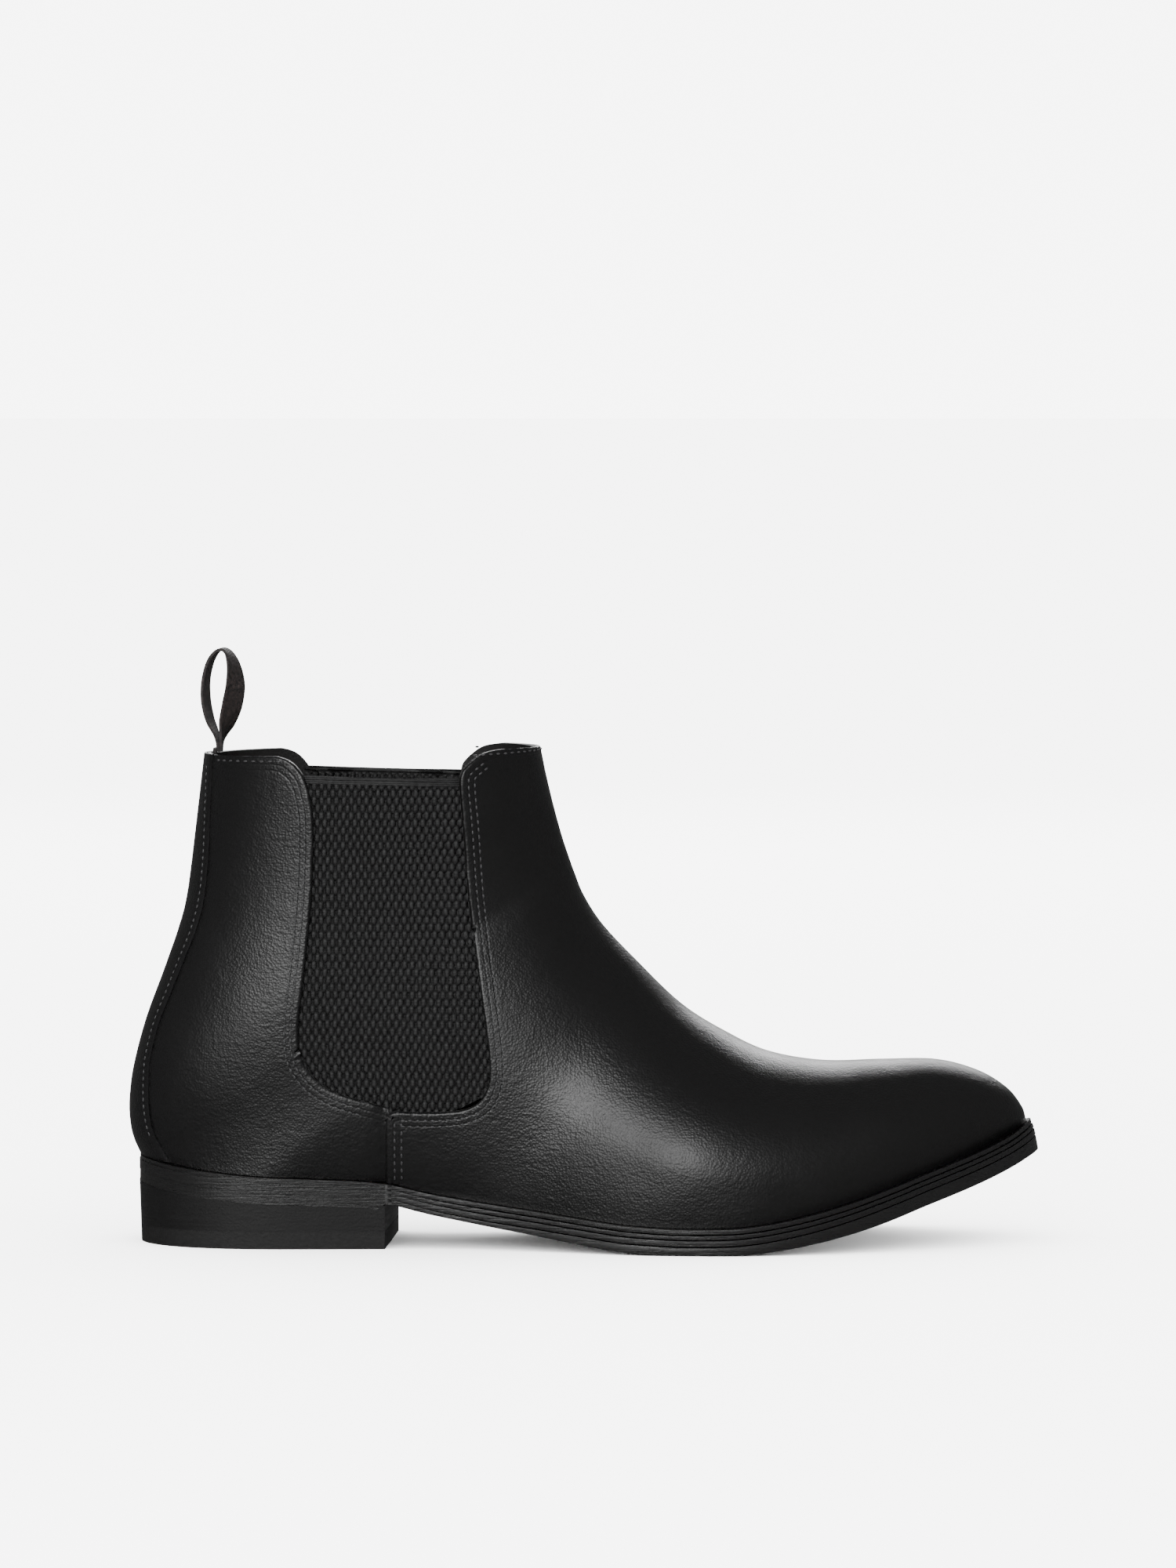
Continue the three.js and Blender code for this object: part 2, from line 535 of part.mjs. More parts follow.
function heelPieces() {
  const level = (z) => () => z;
  const [ground, a, b, c] = HEEL_LEVELS;
  const seat = (x) => featherHeight(x) + OUTSOLE[1] - 1.5 * GAP;
  const made = {
    heel_top_lift: heelPart(level(ground), level(a)),
    heel_lift_1: heelPart(level(a + GAP), level(b)),
    heel_lift_2: heelPart(level(b + GAP), level(c)),
    heel_wedge_lift: heelPart(level(c + GAP), seat),
  };
  NAIL_PLACES.forEach(([x, y], i) => {
    const hole = nailSolid(x, y, 1.3, -1, 12.6);
    for (const name of Object.keys(made)) if (name.startsWith("heel_")) made[name] = made[name].subtract(hole);
    made[`nail_${i + 1}`] = nailSolid(x, y, 0.95, 0.4, 11.6);
  });
  return made;
}

// One screw holds the heel from inside, its head sunk in the insole.
const SCREW = { x: 44, y: 0, radius: 2.2, headRadius: 4.2, tip: 7.5 };
function screwSolid(extra) {
  const top = featherHeight(SCREW.x) + INSOLE[0] - 0.5;
  const length = top - 0.7 - SCREW.tip + extra;
  const pin = new THREE.CylinderGeometry(SCREW.radius + extra, SCREW.radius * 0.7 + extra, length, 12);
  const headRadius = SCREW.headRadius + extra;
  const head = new THREE.CylinderGeometry(headRadius, headRadius, 1.4 + 2 * extra, 12);
  pin.rotateX(Math.PI / 2).translate(SCREW.x, SCREW.y, top - 0.7 - length / 2);
  head.rotateX(Math.PI / 2).translate(SCREW.x, SCREW.y, top - 0.7);
  return solidOf(pin).add(solidOf(head));
}

function solePieces() {
  const insole = soleLayer(INSOLE, WALL, FEATHER_PLAN, INSOLE_XS);
  const ring = soleRing(WELT);
  const midsole = soleLayer(MIDSOLE);
  const outsole = outsoleLayer();
  const beforeHeel = prism([[HEEL_BREAST + 1, -20], [HEEL_BREAST + 1, 80], [FAR, 80], [FAR, -20]]);
  const overHeel = prism([[HEEL_BREAST + 0.6, -20], [HEEL_BREAST + 0.6, 80], [-50, 80], [-50, -20]]);
  const waist = ring.intersect(beforeHeel).subtract(soleAheadWithGap);
  const outer = prism([[-50, -20], [FAR, -20], [FAR, 80], [-50, 80]], -90, 0);
  const made = {
    insole_forepart: insole.intersect(soleAhead),
    insole_backpart: insole.subtract(soleAheadWithGap),
    welt_forepart: ring.intersect(soleAhead),
    welt_lateral: waist.intersect(outer),
    welt_medial: waist.subtract(outer),
    heel_rand: ring.intersect(overHeel),
    midsole_forepart: midsole.intersect(soleAhead),
    midsole_backpart: midsole.subtract(soleAheadWithGap),
    outsole_forepart: outsole.intersect(soleAhead),
    outsole_backpart: outsole.subtract(soleAheadWithGap),
    cork_filler: soleLayer([WELT[0], WELT[1]], 8.4).intersect(soleAhead).subtract(
      prism([[292, -20], [FAR, -20], [FAR, 90], [292, 90]])),
  };
  return made;
}

// The spring-steel shank stiffens the waist, and the heel pad lies on the insole.
function shank() {
  const rows = spread(52, 152, 9);
  const grid = (drop) =>
    rows.map((x) =>
      [-7, 0, 7].map((y) => new THREE.Vector3(x, y - 1.5, featherHeight(x) + drop + (y ? 0 : 0.25))));
  return slab(grid(-0.6), grid(-1.7));
}

function heelPad() {
  const xs = [...[0, 0.6, 2, 4.4, 8, 13, 20, 29].map((d) => 4.82 + d), 46, 60, 72, 80];
  return soleLayer([INSOLE[0] + 1.5, INSOLE[0] + GAP], WALL + 0.6, FEATHER_PLAN, xs);
}

// ---------------------------------------------------------------- assembly

const leather = { color: 0x17181a, roughness: 0.42, metalness: 0 };
const lining = { color: 0x2a2523, roughness: 0.8, metalness: 0 };
const elastic = { color: 0x131415, roughness: 0.9, metalness: 0 };
const sole = { color: 0x1b1a18, roughness: 0.5, metalness: 0 };
const board = { color: 0x8a7256, roughness: 0.9, metalness: 0 };
const cork = { color: 0x9a7a52, roughness: 1, metalness: 0 };
const steel = { color: 0x9a9da0, roughness: 0.4, metalness: 1 };
const rubber = { color: 0x141414, roughness: 0.8, metalness: 0 };
const webbing = { color: 0x1c1715, roughness: 0.85, metalness: 0 };
const stiffener = { color: 0xb9b2a2, roughness: 0.9, metalness: 0 };

const boot = new THREE.Group();
boot.position.set(-MIDDLE_POINT.x, -MIDDLE_POINT.y, 0);

function place(solid, name, finish) {
  const mesh = new THREE.Mesh(geometryOf(solid), new THREE.MeshStandardMaterial(finish));
  mesh.name = name;
  boot.add(mesh);
}

function placeAll(solids, finishOf) {
  for (const [name, solid] of Object.entries(solids)) place(solid, name, finishOf(name));
}

placeAll(vampPieces(LEATHER, "vamp", REAR_RIBS, SHARES), () => leather);
const footBed = soleLayer([INSOLE[0] + 1.8, INSOLE[1] - 0.2], WALL - GAP, FEATHER_PLAN, INSOLE_XS);
for (const [name, solid] of Object.entries(quarterPieces(LEATHER, "quarter", REAR_RIBS, SIDE_SHARES))) {
  place(largest(solid.subtract(footBed)), name, leather);
}
placeAll(backStripPieces(), () => leather);
const linings = {
  ...vampPieces(LINING, "vamp_lining", REAR_RIBS, everyOther(SHARES)),
  ...quarterPieces(LINING, "quarter_lining", LINING_RIBS, everyOther(SIDE_SHARES)),
};
const [outerElastic, innerElastic] = [-1, 1].map((side) => gusset(side, [ELASTIC[0], ELASTIC[1] - 0.15]));
for (const [name, solid] of Object.entries(linings)) {
  place(largest(solid.subtract(footBed).subtract(outerElastic).subtract(innerElastic)), name, lining);
}
place(gusset(-1), "gusset_lateral", elastic);
place(gusset(1), "gusset_medial", elastic);
place(pullLoop(), "pull_loop", webbing);
place(pullLoopTab(), "pull_loop_tab", webbing);
place(toePuff(), "toe_puff", stiffener);
place(heelCounter(), "heel_counter", stiffener);

const screw = screwSolid(0);
const screwHole = screwSolid(GAP);
const soleFinish = (name) => {
  if (name.startsWith("insole")) return board;
  if (name.startsWith("cork")) return cork;
  if (name.startsWith("nail")) return steel;
  return name === "heel_top_lift" ? rubber : sole;
};
const pierced = new Set([
  "insole_backpart", "midsole_backpart", "outsole_backpart", "heel_wedge_lift", "heel_lift_2", "heel_lift_1",
]);
for (const [name, solid] of Object.entries({ ...solePieces(), ...heelPieces() })) {
  place(pierced.has(name) ? solid.subtract(screwHole) : solid, name, soleFinish(name));
}
place(screw, "heel_screw", steel);
place(shank(), "steel_shank", steel);
place(heelPad(), "heel_pad", lining);

export default boot;
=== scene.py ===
# %% [markdown]
# # A black chelsea boot, from the last up
# A boot is a set of flat leather pieces pulled over a wooden foot, the last. This lesson follows that
# order: first the last's shape as a function, then each piece is cut flat with bmesh operators and laid on
# the last. The frame gives the rigid bodies and the sizes, so every piece is made in place, in metres.

# %% The frame
import math

import bmesh
import bpy
import numpy as np
from mathutils import Matrix, Vector
from mathutils.kdtree import KDTree


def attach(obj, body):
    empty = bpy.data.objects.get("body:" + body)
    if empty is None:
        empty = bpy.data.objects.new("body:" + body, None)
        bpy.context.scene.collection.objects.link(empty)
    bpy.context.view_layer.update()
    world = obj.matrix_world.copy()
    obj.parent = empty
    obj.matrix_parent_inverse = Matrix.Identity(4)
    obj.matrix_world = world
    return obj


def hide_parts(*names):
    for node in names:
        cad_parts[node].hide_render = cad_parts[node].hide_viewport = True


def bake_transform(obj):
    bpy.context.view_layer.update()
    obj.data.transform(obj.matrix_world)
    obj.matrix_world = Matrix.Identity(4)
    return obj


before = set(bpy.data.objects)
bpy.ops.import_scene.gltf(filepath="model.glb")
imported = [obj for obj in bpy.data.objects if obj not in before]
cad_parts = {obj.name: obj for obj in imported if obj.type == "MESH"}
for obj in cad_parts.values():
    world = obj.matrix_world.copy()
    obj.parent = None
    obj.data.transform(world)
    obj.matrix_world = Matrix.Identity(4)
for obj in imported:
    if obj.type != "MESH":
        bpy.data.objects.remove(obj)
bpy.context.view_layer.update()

# %% [markdown]
# ## The last
# A shoemaker describes a last by its side view, its plan and its girths. The tables below do the same, in
# millimetres from the back of the heel and the ground. Ribs run from the front ridge of the upper, down the
# side, to the feather line, where upper meets sole, or to the back line above the heel. A curve through the
# table rows (Catmull-Rom) gives everything between them. The alternative, pushing a subdivided box about,
# is quicker to start but gives no way to say how far along or how deep inside the leather a point lies.

# %% Side view and girths
MIDDLE = (152.04, -1.97)
# x, z and y of the ridge, half width outside, half width inside, widest place, front and rear fullness
RIBS = np.array([
    [300.0, 40.0, 6.0, 0.0, 0.0, 0.8, 1.0, 1.0],
    [298.6, 44.2, 6.0, 7.2, 7.0, 0.8, 1.0, 1.0],
    [293.6, 50.4, 6.0, 15.4, 13.2, 0.82, 1.0, 1.0],
    [284.0, 56.2, 5.8, 24.8, 19.4, 0.84, 1.0, 1.0],
    [270.0, 59.9, 5.4, 33.6, 27.2, 0.84, 1.0, 1.0],
    [252.0, 60.0, 4.8, 42.2, 35.4, 0.83, 1.02, 1.0],
    [232.0, 59.7, 4.0, 48.6, 41.2, 0.8, 1.05, 1.0],
    [214.0, 62.8, 3.4, 52.4, 42.6, 0.77, 1.08, 1.0],
    [200.0, 69.2, 3.0, 51.8, 38.8, 0.73, 1.1, 1.0],
    [184.6, 78.9, 2.6, 45.6, 33.6, 0.68, 1.12, 1.0],
    [169.0, 94.0, 2.0, 38.6, 32.0, 0.62, 1.12, 1.0],
    [158.2, 105.6, 1.2, 35.8, 32.6, 0.56, 1.08, 0.95],
    [152.0, 115.2, 0.6, 34.4, 33.2, 0.53, 1.04, 0.84],
    [148.8, 123.0, 0.2, 33.6, 33.2, 0.52, 1.0, 0.8],
    [146.9, 128.4, 0.0, 33.2, 33.0, 0.52, 1.0, 0.79],
    [144.9, 134.4, 0.0, 32.8, 32.6, 0.52, 0.98, 0.81],
    [142.9, 141.4, 0.0, 32.0, 32.0, 0.51, 0.96, 0.86],
    [141.0, 148.8, 0.0, 31.6, 31.6, 0.5, 0.95, 0.88],
    [139.2, 156.6, 0.0, 31.6, 31.6, 0.5, 0.95, 0.9],
    [137.4, 165.5, 0.0, 31.8, 31.8, 0.5, 0.95, 0.9],
])
LAST_RIB = len(RIBS) - 1
print("ribs:", len(RIBS))
FEATHER_RIBS = 14
RIB_FOOT = [300.2, 297.5, 291, 281, 268, 250, 229, 205, 180, 152, 123, 94, 65, 35, 4.8]
RIB_BACK = [29.2, 50, 74, 102, 133, 164.2]
BACK_LINE = [
    (4.8, 29.2), (2.2, 35), (1.1, 41), (1.0, 48), (2.4, 58.5), (6.5, 74), (12.4, 90), (17.8, 105.5),
    (20.6, 117.2), (23.6, 140.7), (26.4, 164.2),
]
FEATHER_HEIGHT = [
    (3, 29.2), (15, 27), (29, 25.2), (44, 24), (62, 23.3), (78, 22.6), (86, 21.7), (91, 20.8), (97, 19.3),
    (105, 17.7), (120, 15.4), (137, 13.2), (149, 11.6), (162, 9.9), (173, 9.1), (186, 8.7), (204, 9.2),
    (221, 11.8), (238, 16), (254, 21.2), (265, 25.2), (282, 31), (293, 35.2), (300.2, 38.4), (305, 40.6),
]

# %% [markdown]
# ## The plan
# From above, the feather line and the sole's edge run side by side: close at the heel and the toe, a few
# millimetres apart along the forepart. Each is given as its two sides, from the toe's tip to the back of
# the heel, so a width at any place is just the difference of two readings.

# %% Plan of the feather line and of the sole's edge
FEATHER_OUTSIDE = [
    (300.2, 6), (297.5, -1), (291, -9), (281, -18.5), (268, -27.5), (250, -36.5), (230, -43.5),
    (210, -47.6), (192, -48.4), (172, -46), (150, -40), (130, -34), (110, -29.8), (90, -28.6),
    (65, -29.6), (45, -29.6), (30, -26), (17, -20.2), (9, -13.4), (5.6, -7), (4.8, 0),
]
FEATHER_INSIDE = [
    (300.2, 6), (298.3, 11.5), (293, 17), (284, 23), (270, 31), (250, 39), (232, 43.6), (215, 44.6),
    (198, 42.6), (180, 37), (160, 29.8), (140, 23.6), (120, 20.3), (100, 20.6), (80, 23.6), (60, 27.2),
    (45, 28.6), (30, 25.8), (17, 20.2), (9, 13.4), (5.6, 7), (4.8, 0),
]
SOLE_OUTSIDE = [
    (304.4, 6), (302.6, -0.5), (296.5, -10), (286, -20.5), (271, -31), (251, -40.8), (230, -48),
    (208, -52), (190, -52.4), (170, -49.8), (148, -43.4), (128, -37), (108, -32.8), (90, -31.6),
    (65, -32.3), (45, -32.2), (29, -29.6), (15, -23), (7.2, -14.5), (4, -7), (3.3, 0),
]
SOLE_INSIDE = [
    (304.4, 6), (303, 12), (297, 19.5), (287, 26.5), (271, 35.5), (251, 43.4), (232, 47.8), (214, 48.6),
    (196, 46.2), (178, 40.2), (158, 32.8), (138, 26.4), (119, 23.2), (100, 23.6), (80, 26.8), (60, 30),
    (44, 31.4), (29, 29.2), (15, 22.8), (7.2, 14.5), (4, 7), (3.3, 0),
]


# %% [markdown]
# ## Reading the tables
# Blender's own curves could carry these tables, but a plain function can be asked for any number of places
# at once. `along` is the Catmull-Rom formula written for whole arrays.

# %% Smooth curves through a table
def along(rows, t):
    """A smooth curve through the rows of a table; t counts rows."""
    rows = np.asarray(rows, float).reshape(len(rows), -1)
    t = np.asarray(t, float)
    i = np.clip(np.floor(t).astype(int), 0, len(rows) - 2)
    f = (t - i)[..., None]
    a, b, c, d = [rows[np.clip(i + k, 0, len(rows) - 1)] for k in (-1, 0, 1, 2)]
    return b + 0.5 * f * ((c - a) + f * ((2 * a - 5 * b + 4 * c - d) + f * (3 * b - a - 3 * c + d)))


def sampled(points, steps=12):
    """A table as a dense run of points."""
    return along(points, np.linspace(0, len(points) - 1, (len(points) - 1) * steps + 1))


def reader(points, key=0, wanted=1):
    """A function that reads one column of a curve from another."""
    dense = sampled(points, 60)
    dense = dense[np.argsort(dense[:, key], kind="stable")]
    return lambda value: np.interp(value, dense[:, key], dense[:, wanted])


feather_height = reader(FEATHER_HEIGHT)
back_line = reader(BACK_LINE, 1, 0)
feather_outside, feather_inside = reader(FEATHER_OUTSIDE), reader(FEATHER_INSIDE)
sole_outside, sole_inside = reader(SOLE_OUTSIDE), reader(SOLE_INSIDE)
print("feather line at the ball, mm:", round(float(feather_height(180)), 2))


# %% [markdown]
# ## The last as a function
# A place on the last is a pair: u counts ribs from the toe, and v runs from -1 at the outer foot of a rib
# over the ridge to 1 at the inner foot. Each rib is two arcs, one in front of its widest place and one
# behind it. A grid of control points would be the other way, but there the feather line would have to be
# kept sharp by hand.

# %% Ribs
def rib_foot(u, side):
    """Where a rib ends: on the feather line, or on the back line above the heel."""
    low_x = along(RIB_FOOT, np.minimum(u, FEATHER_RIBS))[..., 0]
    high_z = along(RIB_BACK, np.maximum(u - FEATHER_RIBS, 0))[..., 0]
    high = u > FEATHER_RIBS
    y = np.where(side < 0, feather_outside(low_x), feather_inside(low_x))
    return (
        np.where(high, back_line(high_z), low_x),
        np.where(high, 0.0, y),
        np.where(high, high_z, feather_height(low_x)),
    )


def rib_reach(u, foot_x, share, power):
    """How far round its rear arc a rib goes before it meets its foot."""
    reach = np.sqrt(np.clip(1 - np.minimum(share, 1) ** (2 / power), 0, 1))
    t = np.clip((foot_x - 26) / 34, 0, 1)
    closing = 1 - 0.012 * (foot_x - RIB_FOOT[-1])
    return np.where(u >= FEATHER_RIBS, 1.0, closing + (reach - closing) * t * t * (3 - 2 * t))


# %% [markdown]
# ## Points, depths and places
# Everything else asks the last three things: the point at a place, the point a given depth below or above
# it, and the place that is seen at a given point of the side view. The last of these is found by halving,
# which is slow but never misses.

# %% A point of the last and the way back
def last_point(u, v):
    """A point of the upper's outer face. v runs from -1, the outer foot of the rib, over the ridge to 1."""
    u, v = np.broadcast_arrays(np.asarray(u, float), np.asarray(v, float))
    side = np.where(v < 0, -1.0, 1.0)
    x, z, ridge, outside, inside, widest, front_power, rear_power = np.moveaxis(along(RIBS, u), -1, 0)
    foot_x, foot_y, foot_z = rib_foot(u, side)
    half = np.maximum(np.maximum(np.where(side < 0, outside, inside), np.abs(foot_y - ridge) * 1.01), 1e-3)
    reach = np.maximum(rib_reach(u, foot_x, np.abs(foot_y - ridge) / half, rear_power), 1e-6)
    angle = np.abs(v) * np.arccos(-reach)
    front = angle < math.pi / 2
    out = half * np.maximum(np.sin(angle), 0) ** np.where(front, front_power, rear_power)
    share = np.where(front, widest * (1 - np.cos(angle)), widest - (1 - widest) * np.cos(angle) / reach)
    return np.stack([x + (foot_x - x) * share, ridge + side * out, z + (foot_z - z) * share], -1)


def last_normal(u, v):
    """The outward direction at a place, from four points close by."""
    u, v = np.broadcast_arrays(np.asarray(u, float), np.asarray(v, float))
    u = np.maximum(u, 0.03)
    along_rib = last_point(u, np.minimum(v + 0.01, 1)) - last_point(u, np.maximum(v - 0.01, -1))
    across = last_point(np.minimum(u + 0.02, LAST_RIB), v) - last_point(np.maximum(u - 0.02, 0.01), v)
    normal = np.cross(along_rib, across)
    return normal / np.maximum(np.linalg.norm(normal, axis=-1, keepdims=True), 1e-9)


def on_last(u, v, depth=0.0):
    """Points `depth` mm outside the upper's outer face."""
    return last_point(u, v) + last_normal(u, v) * np.asarray(depth, float)[..., None]


def find_on_last(x, z, side):
    """Where the point seen at (x, z) from the side lies on the last: (u, v)."""
    x, z = np.broadcast_arrays(np.asarray(x, float), np.asarray(z, float))
    low, high = np.full(x.shape, 0.05), np.full(x.shape, float(LAST_RIB))
    for _ in range(34):
        u = (low + high) / 2
        rib = along(RIBS, u)
        foot_x, _, foot_z = rib_foot(u, side)
        before = (foot_x - rib[..., 0]) * (z - rib[..., 1]) - (foot_z - rib[..., 1]) * (x - rib[..., 0]) < 0
        low, high = np.where(before, u, low), np.where(before, high, u)
    near, far = np.zeros(x.shape), np.ones(x.shape)
    foot_x, _, foot_z = rib_foot(u, side)
    wanted = np.hypot(x - foot_x, z - foot_z)
    for _ in range(34):
        w = (near + far) / 2
        p = last_point(u, side * np.maximum(w, 1e-4))
        higher = np.hypot(p[..., 0] - foot_x, p[..., 2] - foot_z) > wanted
        near, far = np.where(higher, w, near), np.where(higher, far, w)
    return u, side * np.maximum((near + far) / 2, 1e-4)


def placed(points):
    """Millimetres on the last to metres in the frame."""
    points = np.asarray(points, float)
    return (points - np.array([MIDDLE[0], MIDDLE[1], 0.0])) / 1000


print("ankle girth point, mm:", np.round(on_last(12.0, -0.5), 1))

# %% [markdown]
# ## From flat leather to the last
# Leather is cut flat and then pulled over the last, and the mesh is made the same way. The outline becomes
# one flat face whose coordinates are places on the last (rib number and share of the rib).
# `inset_individual` gives it a margin to round the edge, `bisect_plane` cuts it into a fine net,
# `extrude_face_region` gives it an inner side, and then each vertex is moved to its place. A boolean on a
# finished shell would cut the same window, but it leaves ragged slivers along the edge, just where the eye
# goes.

# %% Cutting a panel
# One rib is about 14 mm wide, and half a rib's arc about 110 mm long
U_SCALE, V_SCALE = 14.0, 110.0


def finish_piece(name, bm, material, angle=50):
    """Turns a bmesh into a smooth-shaded object with one material."""
    mesh = bpy.data.meshes.new(name)
    bm.to_mesh(mesh)
    bm.free()
    for polygon in mesh.polygons:
        polygon.use_smooth = True
    mesh.set_sharp_from_angle(angle=math.radians(angle))
    piece = bpy.data.objects.new(name, mesh)
    bpy.context.scene.collection.objects.link(piece)
    mesh.materials.append(material)
    return piece


def cut_flat(outline, margins=(0.2, 0.3, 0.4), u_step=0.14, v_step=0.018):
    """One flat panel from an outline of (u, v), with narrow margins along its edge, cut into a net."""
    bm = bmesh.new()
    corners = [bm.verts.new((u * U_SCALE, v * V_SCALE, 0)) for u, v in outline]
    face = bm.faces.new(corners)
    face.normal_update()
    if face.normal.z < 0:
        face.normal_flip()
    for margin in margins:
        bmesh.ops.inset_individual(bm, faces=[face], thickness=margin, use_even_offset=True)
    for axis, step in ((0, u_step * U_SCALE), (1, v_step * V_SCALE)):
        low, high = min(v.co[axis] for v in bm.verts), max(v.co[axis] for v in bm.verts)
        count = max(int((high - low) / step), 1)
        for i in range(1, count):
            point, normal = [0, 0, 0], [0, 0, 0]
            point[axis], normal[axis] = low + (high - low) * i / count, 1
            everything = bm.verts[:] + bm.edges[:] + bm.faces[:]
            bmesh.ops.bisect_plane(bm, geom=everything, dist=0.02, plane_co=point, plane_no=normal)
    return bm


# %% [markdown]
# ## Pulling the leather on
# A copy of the net's faces becomes the inner side, and then each vertex goes from its place in the flat to
# its place on the last, at the outer or the inner depth. Near a cut edge the outer side drops along a
# quarter circle, as a burnished edge does. A bevel would round it too, but it would cut across the net.
# Each vertex also keeps its distance from the edge, for the grooves of the stitch rows.

# %% Lasting a panel
NO_EDGE = 99.0


def last_panel(name, bm, outer, inner, material, edge_line=None, round_edge=0.75, lift=None):
    """Gives a flat panel its thickness and lays it on the last, outer and inner being depths in mm."""
    inside = bmesh.ops.extrude_face_region(bm, geom=bm.faces[:], use_keep_orig=True)["geom"]
    for vertex in (g for g in inside if isinstance(g, bmesh.types.BMVert)):
        vertex.co.z = -1
    bm.verts.ensure_lookup_table()
    co = np.array([v.co for v in bm.verts])
    u, v = co[:, 0] / U_SCALE, np.clip(co[:, 1] / V_SCALE, -1, 1)
    skin = on_last(u, v)
    distance = np.full(len(co), NO_EDGE)
    if edge_line is not None:
        tree = KDTree(len(edge_line))
        for i, p in enumerate(edge_line):
            tree.insert(p, i)
        tree.balance()
        distance = np.array([tree.find(p)[2] for p in skin])
    gap = np.clip(1 - distance / round_edge, 0, 1)
    drop = (1 - np.sqrt(1 - gap**2)) * round_edge
    depth = np.where(co[:, 2] > -0.5, outer - drop, inner)
    if lift is not None:
        depth = depth + lift(u, v, skin)
    points = placed(on_last(u, v, depth))
    layer = bm.verts.layers.float.new("edge_mm")
    for vertex, p, d in zip(bm.verts, points, distance):
        vertex.co = p
        vertex[layer] = d
    bmesh.ops.remove_doubles(bm, verts=bm.verts[:], dist=2e-5)
    bmesh.ops.dissolve_degenerate(bm, edges=bm.edges[:], dist=1e-6)
    bmesh.ops.recalc_face_normals(bm, faces=bm.faces[:])
    print(name, "faces", len(bm.faces))
    return finish_piece(name, bm, material)


# %% [markdown]
# ## Finishes
# Smooth calf is nearly black, with a fine pore grain, faint longer wrinkles and a shine that changes a
# little from place to place. All of it is bump and roughness on Object coordinates, so it is the same size
# everywhere on the boot and needs no unwrapping. The elastic, the webbing and the sole's edge get the same
# treatment with their own patterns.

# %% Material helpers
def new_material(name, color, roughness, **sockets):
    """A plain material to build on; other sockets are set by name."""
    material = bpy.data.materials.new(name)
    material.use_nodes = True
    nodes, links = material.node_tree.nodes, material.node_tree.links
    shader = nodes["Principled BSDF"]
    shader.inputs["Base Color"].default_value = (*color, 1)
    shader.inputs["Roughness"].default_value = roughness
    for socket, value in sockets.items():
        shader.inputs[socket.replace("_", " ")].default_value = value
    return material, nodes, links, shader


def pattern(nodes, links, kind, scale, squash=(1, 1, 1), **settings):
    """A texture node on Object coordinates; scale is in features per metre."""
    place = nodes.new("ShaderNodeTexCoord")
    turn = nodes.new("ShaderNodeMapping")
    turn.inputs["Scale"].default_value = squash
    texture = nodes.new(kind)
    texture.inputs["Scale"].default_value = scale
    for socket, value in settings.items():
        texture.inputs[socket].default_value = value
    links.new(place.outputs["Object"], turn.inputs["Vector"])
    links.new(turn.outputs["Vector"], texture.inputs["Vector"])
    return texture


def curve_of(nodes, links, source, stops):
    """Maps a value through a ramp of (place, brightness) stops."""
    ramp = nodes.new("ShaderNodeValToRGB")
    while len(ramp.color_ramp.elements) < len(stops):
        ramp.color_ramp.elements.new(0.5)
    for element, (place, value) in zip(ramp.color_ramp.elements, stops):
        element.position = place
        element.color = (value, value, value, 1) if not isinstance(value, tuple) else (*value, 1)
    links.new(source, ramp.inputs["Fac"])
    return ramp.outputs["Color"]


def add_bumps(nodes, links, shader, layers):
    """Chains bump nodes; layers are (height socket, depth in metres)."""
    before = None
    for height, depth in layers:
        bump = nodes.new("ShaderNodeBump")
        bump.inputs["Distance"].default_value = depth
        bump.inputs["Strength"].default_value = 1.0
        links.new(height, bump.inputs["Height"])
        if before is not None:
            links.new(before, bump.inputs["Normal"])
        before = bump.outputs["Normal"]
    links.new(before, shader.inputs["Normal"])


def attribute_of(nodes, name):
    """A number that each vertex of the piece carries."""
    node = nodes.new("ShaderNodeAttribute")
    node.attribute_name = name
    return node.outputs["Fac"]


# %% [markdown]
# ## Calf
# Three sizes of relief make calf: pores from Voronoi cells, short wrinkles from stretched noise, and slow
# clouds that bend the highlights. Stitching pulls a shallow groove into the leather, and the panel's
# `edge_mm` attribute says where that groove runs, so it follows every curve of the edge.

# %% Calf leather
# Distance of the two stitch rows from a panel's edge, in mm
ROW_PLACES = (2.6, 4.6)


